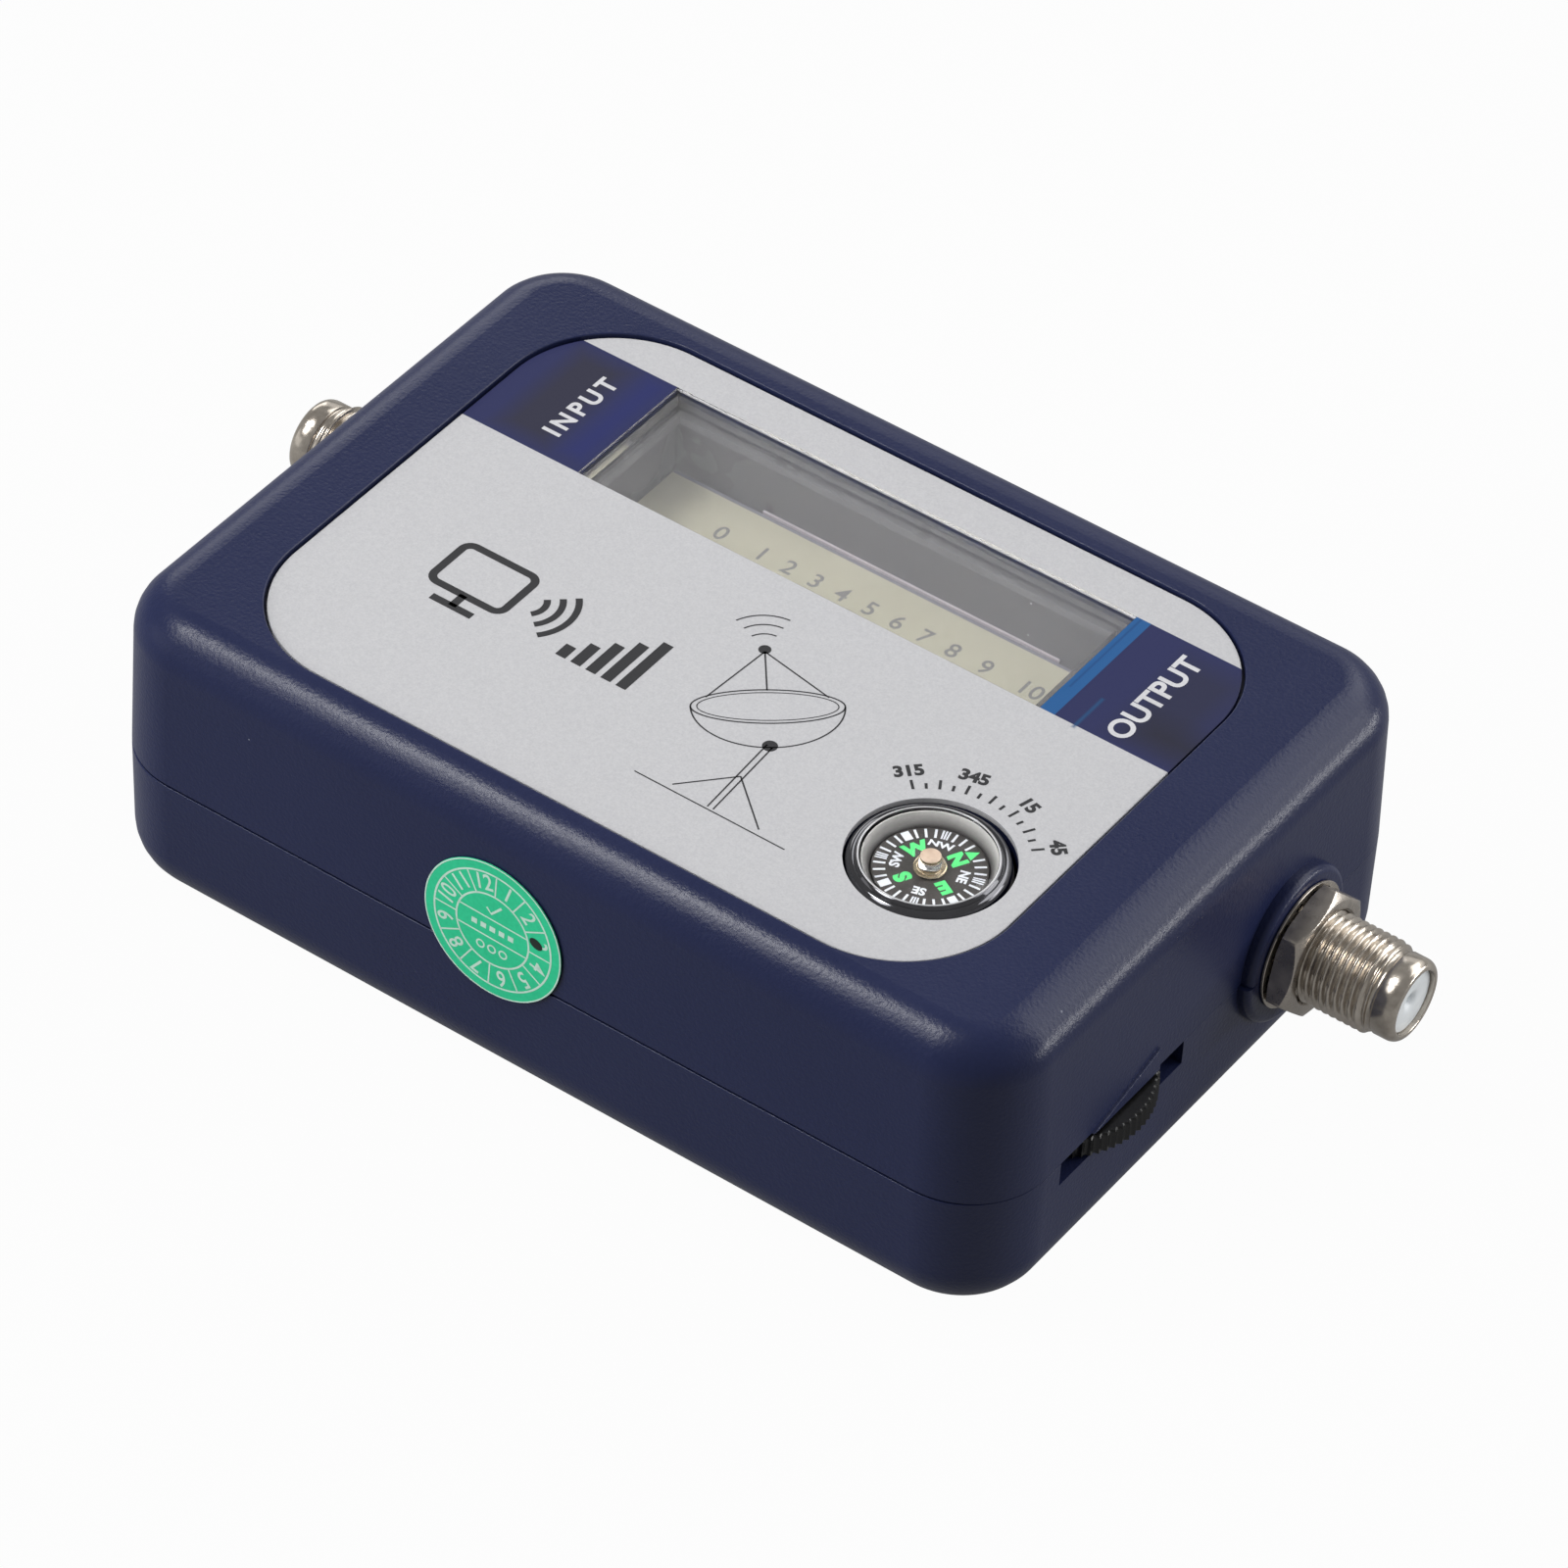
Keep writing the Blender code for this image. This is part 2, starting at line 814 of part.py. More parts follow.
def meter_tray():
    wide, neck = tray_outline("tray", tray_wall, tray_bottom, tray_top)
    tray = as_part(wide, "meter_tray", tray_grey)
    add(tray, neck)
    cut(tray, *tray_outline("tray_inside", 0, tray_inside, tray_top + overrun))
    post_top = plate_bottom - running_clearance
    for i, place_at in enumerate(plate_post_places()):
        add(tray, rod(f"plate_post_{i}", place_at, plate_post_radius, tray_bottom + tray_floor / 2,
                      post_top, steps=small_steps))
    front = (pivot_x, neck_front + front_post_radius + glue_gap)
    add(tray, rod("plate_post_front", front, front_post_radius, tray_bottom + tray_floor / 2, post_top))
    for i, side in enumerate((-1, 1)):
        foot = (pivot_x, pivot_y + side * magnet_post_offset)
        add(tray, rod(f"magnet_post_{i}", foot, magnet_post_radius, tray_bottom + tray_floor / 2,
                      tray_inside + magnet_lift))
    cut(tray, rod("staff_bearing", (pivot_x, pivot_y), staff_radius + staff_clearance,
                  tray_inside - staff_depth - glue_gap, tray_inside + glue_gap))
    for i, place_at in enumerate(terminal_places()):
        cut(tray, rod(f"terminal_hole_{i}", place_at, terminal_radius + glue_gap,
                      tray_bottom - overrun, tray_inside + glue_gap))
    return tray


def meter_cover():
    """The clear lid, with a raised hollow block that fills the window."""
    lid_bottom = tray_top + glue_gap
    lid_top = lid_bottom + cover_wall
    wide, neck = tray_outline("cover", tray_wall, lid_bottom, lid_top)
    cover = as_part(wide, "meter_cover", clear)
    inset = running_clearance
    raised = block(
        "raised_window",
        (window_left + inset, window_front + inset, lid_bottom + cover_wall / 2),
        (window_right - inset, window_back - inset, pocket_floor),
    )
    add(cover, neck, raised)
    inset += cover_wall
    cut(cover, block(
        "raised_hollow",
        (window_left + inset, window_front + inset, lid_bottom - overrun),
        (window_right - inset, window_back - inset, pocket_floor - cover_wall),
    ))
    return cover


def scale_plate():
    """The cream plate under the needle, cut to clear the staff."""
    wide, neck = tray_outline("plate", -running_clearance, plate_bottom, plate_top)
    dial = as_part(wide, "scale_plate", cream)
    add(dial, neck)
    return cut(dial, rod("staff_hole", (pivot_x, pivot_y), coil_width, plate_bottom - overrun,
                         plate_top + overrun))


def meter_magnet():
    return rod("meter_magnet", (pivot_x, pivot_y), magnet_radius, core_bottom, core_top,
               parts, steel, round_steps)


def meter_yoke():
    top = plate_bottom - yoke_clearance
    inner = yoke_radius - yoke_wall
    ring = turned(
        "meter_yoke",
        [(yoke_radius, top), (yoke_radius, yoke_bottom), (inner, yoke_bottom), (inner, top)],
        parts, steel, round_steps, ring=True,
    )
    return at(ring, (pivot_x, pivot_y, 0))


def coil_levels():
    """The winding's lowest and highest level, outside the core."""
    room = coil_clearance + coil_wire
    return core_bottom - room, core_top + room


def bridge_underside():
    return plate_top + running_clearance + bridge_height


def moving_coil():
    """A flat winding round the core, with a staff at each end. It turns with the needle."""
    bottom, top = coil_levels()
    inner = magnet_radius + coil_clearance
    outer = inner + coil_wire
    coil = block("moving_coil", (-outer, -coil_width / 2, bottom), (outer, coil_width / 2, top),
                 parts, copper)
    cut(coil, block("coil_inside", (-inner, -coil_width, bottom + coil_wire),
                    (inner, coil_width, top - coil_wire)))
    add(coil, rod("upper_staff", (0, 0), staff_radius, top - coil_wire / 2, staff_top(),
                  steps=small_steps))
    add(coil, rod("lower_staff", (0, 0), staff_radius, tray_inside - staff_depth,
                  bottom + coil_wire / 2, steps=small_steps))
    return at(coil, (pivot_x, pivot_y, 0), (0, 0, needle_rest_angle))


def staff_top():
    return bridge_underside() - 2 * running_clearance


def needle_level():
    return plate_top + needle_height


def meter_needle():
    """A tapered blade on a hub, with a balance weight on its tail. It points along +Y at mid scale."""
    level = needle_level()
    needle = rod("meter_needle", (0, 0), needle_hub, level - needle_hub_height / 2,
                 level + needle_hub_height / 2, parts, black)
    blade = bmesh.new()
    bmesh.ops.create_cube(blade, size=1)
    for point in blade.verts:
        at_tip = point.co.y > 0
        width = needle_tip if at_tip else needle_root
        point.co.x = math.copysign(width / 2, point.co.x)
        point.co.y = needle_length if at_tip else -needle_tail
        point.co.z = level + math.copysign(needle_blade / 2, point.co.z)
    add(needle, from_bmesh("needle_blade", blade))
    add(needle, rod("needle_weight", (0, -needle_tail), needle_weight, level - needle_hub_height / 4,
                    level + needle_hub_height / 4))
    cut(needle, rod("needle_bore", (0, 0), staff_radius + glue_gap, level - needle_hub_height,
                    level + needle_hub_height))
    return at(needle, (pivot_x, pivot_y, 0), (0, 0, needle_rest_angle))


def hairspring():
    """A flat spiral between the needle's hub and the bridge."""
    count = hairspring_turns * spring_turn_steps + 1
    level = (needle_level() + needle_hub_height / 2 + bridge_underside()) / 2
    curve = bpy.data.curves.new("hairspring", "CURVE")
    curve.dimensions = "3D"
    curve.bevel_depth = hairspring_wire
    curve.bevel_resolution = 0
    curve.use_fill_caps = True
    line = curve.splines.new("POLY")
    line.points.add(count - 1)
    for i in range(count):
        share = i / (count - 1)
        radius = hairspring_inner + (hairspring_outer - hairspring_inner) * share
        angle = 2 * math.pi * i / spring_turn_steps
        line.points[i].co = (radius * math.cos(angle), radius * math.sin(angle), level, 1)
    return at(place(bpy.data.objects.new("hairspring", curve), parts, brass), (pivot_x, pivot_y, 0))


def bearing_bridge():
    bottom = bridge_underside()
    half = bridge_span / 2
    bridge = block(
        "bearing_bridge",
        (pivot_x - half, pivot_y - bridge_width / 2, bottom),
        (pivot_x + half, pivot_y + bridge_width / 2, bottom + bridge_thickness),
        parts, brass,
    )
    for i, side in enumerate((-1, 1)):
        foot = (pivot_x + side * (half - bridge_width / 2), pivot_y)
        add(bridge, rod(f"bridge_leg_{i}", foot, bridge_leg_radius, plate_top + running_clearance,
                        bottom + bridge_thickness / 2))
    return cut(bridge, rod("bearing_bore", (pivot_x, pivot_y), bearing_radius + glue_gap,
                           bottom - overrun, bottom + bridge_thickness + overrun))


def bearing_screw():
    """The screw whose hollow end holds the staff's tip."""
    bottom = staff_top() + glue_gap
    screw = rod("bearing_screw", (pivot_x, pivot_y), bearing_radius, bottom, bottom + bearing_length,
                parts, steel)
    top = bottom + bearing_length
    return cut(screw, block(
        "bearing_slot",
        (pivot_x - 2 * bearing_radius, pivot_y - screw_slot_width / 4, top - screw_slot_depth / 2),
        (pivot_x + 2 * bearing_radius, pivot_y + screw_slot_width / 4, top + overrun),
    ))


def meter_terminals():
    head_bottom = tray_inside + glue_gap
    for name, place_at in zip(("left", "right"), terminal_places()):
        stud = rod(f"meter_terminal_{name}", place_at, terminal_radius, part_foot,
                   head_bottom + terminal_head_height / 2, parts, brass)
        add(stud, rod(f"terminal_head_{name}", place_at, terminal_head, head_bottom,
                      head_bottom + terminal_head_height))


meter_tray()
meter_cover()
scale_plate()
meter_magnet()
meter_yoke()
moving_coil()
meter_needle()
hairspring()
bearing_bridge()
bearing_screw()
meter_terminals()


# Compass
def compass_bowl():
    """A cup whose inner wall opens from the card's level up to the bezel."""
    bottom = compass_floor
    rim = compass_top - bezel_height - glue_gap
    card_room = card_radius + running_clearance
    bowl = turned(
        "compass_bowl",
        [
            (0, bottom + bowl_floor),
            (card_room, bottom + bowl_floor),
            (card_room, card_top - card_thickness),
            (bezel_inner - running_clearance, rim),
            (compass_outer, rim),
            (compass_outer, bottom),
            (0, bottom),
        ],
        parts, tray_grey, fine_steps,
    )
    return at(bowl, (compass_x, compass_y, 0))


def compass_bezel():
    """A rounded chrome ring on the bowl's rim."""
    bottom = compass_top - bezel_height
    ring = [
        (compass_outer, compass_top - bezel_round),
        (compass_outer, bottom),
        (bezel_inner, bottom),
        (bezel_inner, compass_top - bezel_round),
    ]
    middle = (bezel_inner + compass_outer) / 2
    half = (compass_outer - bezel_inner) / 2
    for i in range(1, bezel_steps):
        angle = math.pi * i / bezel_steps
        ring.append((middle - half * math.cos(angle), compass_top - bezel_round * (1 - math.sin(angle))))
    return at(turned("compass_bezel", ring, parts, nickel, fine_steps, ring=True),
              (compass_x, compass_y, 0))


def compass_lens():
    """A thin clear disc inside the ring, slightly crowned."""
    radius = bezel_inner - glue_gap
    bottom = compass_top - bezel_round
    top = bottom + lens_thickness
    crown_shares = (0.0, 0.5, 1.0)
    over = [(radius * share, top + lens_crown * (1 - share**2)) for share in crown_shares]
    under = [(radius * share, bottom + lens_crown * (1 - share**2)) for share in crown_shares[::-1]]
    return at(turned("compass_lens", over + under, parts, clear, fine_steps),
              (compass_x, compass_y, 0))


def compass_card():
    bottom = card_top - card_thickness
    card = turned(
        "compass_card",
        [(card_radius, card_top), (card_radius, bottom), (card_bore, bottom), (card_bore, card_top)],
        parts, black, fine_steps, ring=True,
    )
    return at(card, (compass_x, compass_y, 0), (0, 0, north_angle))


def compass_cap():
    """The jewel cap over the pivot: a dish, a flat top and a hollow underneath."""
    bottom = card_top + glue_gap
    dish = cap_height / 2
    cap = turned(
        "compass_cap",
        [
            (0, bottom + cap_height),
            (cap_top, bottom + cap_height),
            (cap_top, bottom + dish),
            (cap_radius, bottom + dish / 2),
            (cap_radius, bottom),
            (cap_socket, bottom),
            (cap_socket, bottom + dish / 2),
            (0, bottom + cap_height * cap_hollow_share),
        ],
        parts, brass, small_steps,
    )
    return at(cap, (compass_x, compass_y, 0))


def compass_magnet():
    """A bar under the card, drilled for the pivot pin."""
    top = card_top - card_thickness - glue_gap
    bottom = top - compass_magnet_thickness
    magnet = block(
        "compass_magnet",
        (-compass_magnet_length / 2, -compass_magnet_width / 2, bottom),
        (compass_magnet_length / 2, compass_magnet_width / 2, top),
        parts, steel,
    )
    cut(magnet, rod("magnet_bore", (0, 0), card_bore, bottom - overrun, top + overrun))
    return at(magnet, (compass_x, compass_y, 0), (0, 0, north_angle))


def compass_pivot():
    """The fixed pin that the cap turns on."""
    bottom = compass_floor + bowl_floor + glue_gap
    shoulder = card_top - card_thickness / 2
    tip = card_top + glue_gap + cap_height * pin_reach_share
    pin = turned(
        "compass_pivot",
        [
            (0, tip),
            (compass_pin_radius * screw_tip_share, tip),
            (compass_pin_radius, shoulder),
            (compass_pin_radius, bottom + bowl_floor),
            (card_bore, bottom + bowl_floor / 2),
            (card_bore, bottom),
            (0, bottom),
        ],
        parts, steel, small_steps,
    )
    return at(pin, (compass_x, compass_y, 0))


compass_bowl()
compass_bezel()
compass_lens()
compass_card()
compass_cap()
compass_magnet()
compass_pivot()


# Circuit board and what stands on it
def circuit_board():
    """The board, notched at its corners for the case posts."""
    half_x = half_length - side_wall - board_clearance
    half_y = half_width - side_wall - board_clearance
    board = block("circuit_board", (-half_x, -half_y, board_bottom), (half_x, half_y, board_top),
                  parts, board_green)
    notch = post_radius + board_notch_clearance
    for i, (x, y) in enumerate(post_places()):
        inner_x = x - math.copysign(notch, x)
        inner_y = y - math.copysign(notch, y)
        outer_x = math.copysign(half_length, x)
        outer_y = math.copysign(half_width, y)
        cut(board, block(
            f"board_notch_{i}",
            (min(inner_x, outer_x), min(inner_y, outer_y), board_bottom - overrun),
            (max(inner_x, outer_x), max(inner_y, outer_y), board_top + overrun),
        ))
    for i, place_at in enumerate(board_studs()[1:3]):
        cut(board, rod(f"board_hole_{i}", place_at, board_screw_radius + running_clearance,
                       board_bottom - overrun, board_top + overrun))
    return board


def board_screws():
    for name, (x, y) in zip(("left", "right"), board_studs()[1:3]):
        seat = board_top + glue_gap
        screw = turned(
            f"board_screw_{name}",
            [
                (0, seat + board_screw_head_height),
                (board_screw_head * head_top_share, seat + board_screw_head_height),
                (board_screw_head, seat + board_screw_head_height * (1 - head_edge_share)),
                (board_screw_head, seat),
                (board_screw_radius, seat),
                (board_screw_radius, seat - board_screw_length + board_screw_radius),
                (board_screw_radius * screw_tip_share, seat - board_screw_length),
                (0, seat - board_screw_length),
            ],
            parts, steel, small_steps,
        )
        at(screw, (x, y, 0))


def amplifier_chip():
    return block(
        "amplifier_chip",
        (chip_x - chip_length / 2, chip_y - chip_width / 2, part_foot),
        (chip_x + chip_length / 2, chip_y + chip_width / 2, part_foot + chip_height),
        parts, black, bevel=glue_gap, steps=1,
    )


def capacitors():
    """Two upright cans with a crimp near the foot."""
    for i, name in enumerate(("front", "rear")):
        can = turned(
            f"capacitor_{name}",
            [
                (0, part_foot + capacitor_height),
                (capacitor_radius - capacitor_crimp, part_foot + capacitor_height),
                (capacitor_radius, part_foot + capacitor_height - capacitor_crimp),
                (capacitor_radius, part_foot + 5 * capacitor_crimp),
                (capacitor_radius - capacitor_crimp, part_foot + 4 * capacitor_crimp),
                (capacitor_radius, part_foot + 3 * capacitor_crimp),
                (capacitor_radius, part_foot),
                (0, part_foot),
            ],
            parts, black, small_steps,
        )
        at(can, (capacitor_x, capacitor_front_y + i * capacitor_pitch, 0))


def choke_coil():
    bpy.ops.mesh.primitive_torus_add(
        major_radius=choke_radius,
        minor_radius=choke_wire,
        major_segments=small_steps,
        minor_segments=wire_sides,
        location=(choke_x, choke_y, part_foot + choke_wire),
    )
    ring = bpy.context.object
    ring.name = "choke_coil"
    for holder in list(ring.users_collection):
        holder.objects.unlink(ring)
    return sharpen(place(ring, parts, copper), 80)


def lamps():
    """A small lamp at each end of the meter, on two leads from the board."""
    reach = tray_wall + lamp_gap + lamp_rim
    for name, x in (("left", window_left - reach), ("right", window_right + reach)):
        lamp = turned(
            f"lamp_{name}",
            [
                (0, lamp_bottom + lamp_height),
                (lamp_radius * dome_share, lamp_bottom + lamp_height - lamp_radius * (1 - dome_share)),
                (lamp_radius, lamp_bottom + lamp_height - lamp_radius),
                (lamp_radius, lamp_bottom + lamp_rim_height),
                (lamp_rim, lamp_bottom + lamp_rim_height),
                (lamp_rim, lamp_bottom),
                (0, lamp_bottom),
            ],
            parts, clear, small_steps,
        )
        at(lamp, (x, window_y, 0))
        for i, side in enumerate((-1, 1)):
            add(lamp, rod(f"lamp_lead_{name}_{i}", (0, side * lamp_lead_pitch / 2), lamp_lead,
                          part_foot, lamp_bottom + lamp_rim_height / 2, steps=wire_sides))


circuit_board()
board_screws()
amplifier_chip()
capacitors()
choke_coil()
lamps()


# Thumbwheel
def thumbwheel():
    """A disc whose rim carries teeth with slanted flanks, with a shallow well on top for the screw."""
    shape = bmesh.new()
    bmesh.ops.create_cone(
        shape,
        cap_ends=True,
        segments=wheel_teeth * points_a_tooth,
        radius1=wheel_radius,
        radius2=wheel_radius,
        depth=wheel_thickness,
    )
    for point in shape.verts:
        angle = math.atan2(point.co.y, point.co.x) / (2 * math.pi) * wheel_teeth * points_a_tooth
        if round(angle) % points_a_tooth >= points_a_tooth / 2:
            point.co.xy = point.co.xy * (wheel_radius - tooth_depth) / wheel_radius
        point.co.z += (wheel_bottom + wheel_top) / 2
    wheel = from_bmesh("thumbwheel", shape, parts, black)
    cut(
        wheel,
        rod("wheel_well", (0, 0), wheel_well_radius, wheel_top - wheel_well_depth, wheel_top + overrun),
        rod("wheel_bore", (0, 0), wheel_screw_shank + glue_gap, wheel_bottom - overrun,
            wheel_top + overrun),
    )
    return at(wheel, (wheel_x, wheel_y, 0))


def wheel_screw():
    """It clamps the wheel to the potentiometer's rotor, so it turns with the wheel."""
    seat = wheel_top - wheel_well_depth + glue_gap
    end = wheel_bottom - running_clearance - pot_height / 2
    screw = turned(
        "wheel_screw",
        [
            (0, seat + wheel_screw_head_height),
            (wheel_screw_head * head_top_share, seat + wheel_screw_head_height),
            (wheel_screw_head, seat + wheel_screw_head_height * head_edge_share),
            (wheel_screw_head, seat),
            (wheel_screw_shank, seat),
            (wheel_screw_shank, end),
            (0, end),
        ],
        parts, steel, small_steps,
    )
    cut(screw, block(
        "wheel_screw_slot",
        (-wheel_screw_head - overrun, -screw_slot_width / 2, seat + wheel_screw_head_height / 2),
        (wheel_screw_head + overrun, screw_slot_width / 2, seat + wheel_screw_head_height + overrun),
    ))
    return at(screw, (wheel_x, wheel_y, 0))


def potentiometer_body():
    """The fixed half of the potentiometer, on three flat legs."""
    top = wheel_bottom - running_clearance
    bottom = top - pot_height
    body = rod("potentiometer_body", (wheel_x, wheel_y), pot_radius, bottom, top, parts, black,
               round_steps)
    for i in (-1, 0, 1):
        x = wheel_x - pot_radius / 2
        y = wheel_y + i * pot_leg_pitch
        add(body, block(
            f"pot_leg_{i + 2}",
            (x - pot_leg_thickness / 2, y - pot_leg_width / 2, part_foot),
            (x + pot_leg_thickness / 2, y + pot_leg_width / 2, bottom + pot_height / 3),
        ))
    return cut(body, rod("rotor_bore", (wheel_x, wheel_y), wheel_screw_shank + running_clearance,
                         bottom - overrun, top + overrun))


thumbwheel()
wheel_screw()
potentiometer_body()


# Connectors
def along_x(thing, side):
    """Lays a piece that was turned round Z along X, with its far end outwards."""
    return at(thing, (0, connector_y, parting_height), (0, side * math.pi / 2, 0))


def connector_body(name, side, reach):
    """A flange inside the wall, a threaded barrel through it, and a plain rounded nose past a groove."""
    tip = half_length + reach
    bore = insulator_radius + insulator_clearance
    inner = flange_face - flange_thickness
    nose = tip - nose_length
    thread_end = nose - groove_width
    body = turned(
        name,
        [
            (bore, tip),
            (nose_radius - nose_round, tip),
            (nose_radius - nose_round * (1 - dome_share), tip - nose_round * (1 - dome_share)),
            (nose_radius, tip - nose_round),
            (nose_radius, nose),
            (groove_radius, nose),
            (groove_radius, thread_end),
            (barrel_radius - thread_chamfer, thread_end),
            (barrel_radius, thread_end - thread_chamfer),
            (barrel_radius, flange_face),
            (flange_radius, flange_face),
            (flange_radius, inner),
            (tail_radius, inner),
            (tail_radius, inner - tail_length),
            (bore, inner - tail_length),
        ],
        parts, nickel, round_steps, ring=True,
    )
    return along_x(body, side)


def connector_insulator(name, side, reach):
    tip = half_length + reach - insulator_recess
    end = flange_face - flange_thickness - tail_length
    socket = tip - contact_hole_depth
    wide = contact_radius + contact_clearance
    insulator = turned(
        name,
        [
            (contact_hole, tip),
            (insulator_radius, tip),
            (insulator_radius, end),
            (wide, end),
            (wide, socket),
            (contact_hole, socket),
        ],
        parts, white, small_steps, ring=True,
    )
    return along_x(insulator, side)


def connector_contact(name, side, reach):
    """The centre contact: a straight pin inside the insulator and a lead bent down to the board."""
    tip = half_length + reach - insulator_recess - contact_hole_depth - running_clearance
    bend = flange_face - flange_thickness - tail_length - contact_lead_inset
    start = bend - contact_radius
    contact = bar_along_x(
        name, (connector_y, parting_height), contact_radius, side * start, side * tip, steps=small_steps
    )
    as_part(contact, name, brass)
    add(contact, rod(name + "_lead", (side * bend, connector_y), contact_lead_radius, part_foot,
                     parting_height, steps=wire_sides))
    cut(contact, bar_along_x(name + "_socket", (connector_y, parting_height), contact_radius / 2,
                             side * (half_length + reach / 2), side * (tip + overrun),
                             steps=wire_sides))
    return contact


def connector_nut(name, side):
    """A hexagon with its corners turned off, bored to clear the thread."""
    start = half_length + boss_proud + 2 * stack_gap + washer_thickness
    end = start + nut_thickness
    corner = nut_across_flats / math.sqrt(3)
    shape = bmesh.new()
    bmesh.ops.create_cone(
        shape, cap_ends=True, segments=6, radius1=corner, radius2=corner, depth=nut_thickness
    )
    bmesh.ops.translate(shape, verts=shape.verts[:], vec=(0, 0, (start + end) / 2))
    nut = from_bmesh(name, shape, parts, nickel)
    round_off = turned(
        name + "_round",
        [
            (0, end + overrun),
            (nut_across_flats / 2 - 2 * nut_chamfer, end + overrun),
            (nut_across_flats / 2 - nut_chamfer, end),
            (corner, end - nut_chamfer),
            (corner, start + nut_chamfer),
            (nut_across_flats / 2 - nut_chamfer, start),
            (nut_across_flats / 2 - 2 * nut_chamfer, start - overrun),
            (0, start - overrun),
        ],
        cutters, None, round_steps,
    )
    boolean(nut, round_off, "INTERSECT")
    cut(nut, rod(name + "_bore", (0, 0), barrel_radius + barrel_clearance, start - overrun,
                 end + overrun, steps=small_steps))
    along_x(nut, side)
    nut.rotation_euler.rotate_axis("Z", nut_turn)
    return nut


def connector_washer(name, side):
    """A lock washer with teeth round its outer edge."""
    start = half_length + boss_proud + stack_gap
    shape = bmesh.new()
    bmesh.ops.create_cone(
        shape,
        cap_ends=True,
        segments=washer_teeth * points_a_tooth,
        radius1=washer_radius,
        radius2=washer_radius,
        depth=washer_thickness,
    )
    for point in shape.verts:
        angle = math.atan2(point.co.y, point.co.x) / (2 * math.pi) * washer_teeth * points_a_tooth
        if round(angle) % points_a_tooth >= points_a_tooth / 2:
            point.co.xy = point.co.xy * (washer_radius - washer_tooth_depth) / washer_radius
        point.co.z += start + washer_thickness / 2
    washer = from_bmesh(name, shape, parts, nickel)
    cut(washer, rod(name + "_bore", (0, 0), barrel_radius + barrel_clearance, start - overrun,
                    start + washer_thickness + overrun, steps=small_steps))
    return along_x(washer, side)


for label, side, reach in connector_sides():
    connector_body(f"connector_body_{label}", side, reach)
    connector_insulator(f"connector_insulator_{label}", side, reach)
    connector_contact(f"connector_contact_{label}", side, reach)
    connector_nut(f"connector_nut_{label}", side)
    connector_washer(f"connector_washer_{label}", side)
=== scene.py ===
# Looks of the hand-held signal finder. Metres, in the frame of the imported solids.
import math

import bmesh
import bpy
import numpy as np
from mathutils import Matrix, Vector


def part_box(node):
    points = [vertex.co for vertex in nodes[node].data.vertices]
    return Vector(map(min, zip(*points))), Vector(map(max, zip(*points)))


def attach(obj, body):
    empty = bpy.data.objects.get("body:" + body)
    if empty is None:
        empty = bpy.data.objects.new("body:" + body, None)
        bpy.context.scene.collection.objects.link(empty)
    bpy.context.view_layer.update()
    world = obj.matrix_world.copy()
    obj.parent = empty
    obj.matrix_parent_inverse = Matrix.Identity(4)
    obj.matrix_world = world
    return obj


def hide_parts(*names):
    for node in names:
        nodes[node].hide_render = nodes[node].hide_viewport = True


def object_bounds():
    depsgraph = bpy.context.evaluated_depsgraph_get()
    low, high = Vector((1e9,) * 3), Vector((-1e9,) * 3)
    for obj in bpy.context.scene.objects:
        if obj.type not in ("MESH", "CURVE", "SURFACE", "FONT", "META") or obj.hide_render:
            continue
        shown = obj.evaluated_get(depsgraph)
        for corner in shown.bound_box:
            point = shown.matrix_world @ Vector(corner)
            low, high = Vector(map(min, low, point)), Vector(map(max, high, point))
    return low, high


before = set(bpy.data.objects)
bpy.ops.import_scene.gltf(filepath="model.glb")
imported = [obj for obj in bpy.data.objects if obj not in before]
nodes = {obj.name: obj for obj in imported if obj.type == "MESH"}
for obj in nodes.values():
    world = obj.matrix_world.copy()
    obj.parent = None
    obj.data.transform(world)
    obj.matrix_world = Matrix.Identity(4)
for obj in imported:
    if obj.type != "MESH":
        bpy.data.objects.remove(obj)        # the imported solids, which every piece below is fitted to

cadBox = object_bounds()
mm = 0.001


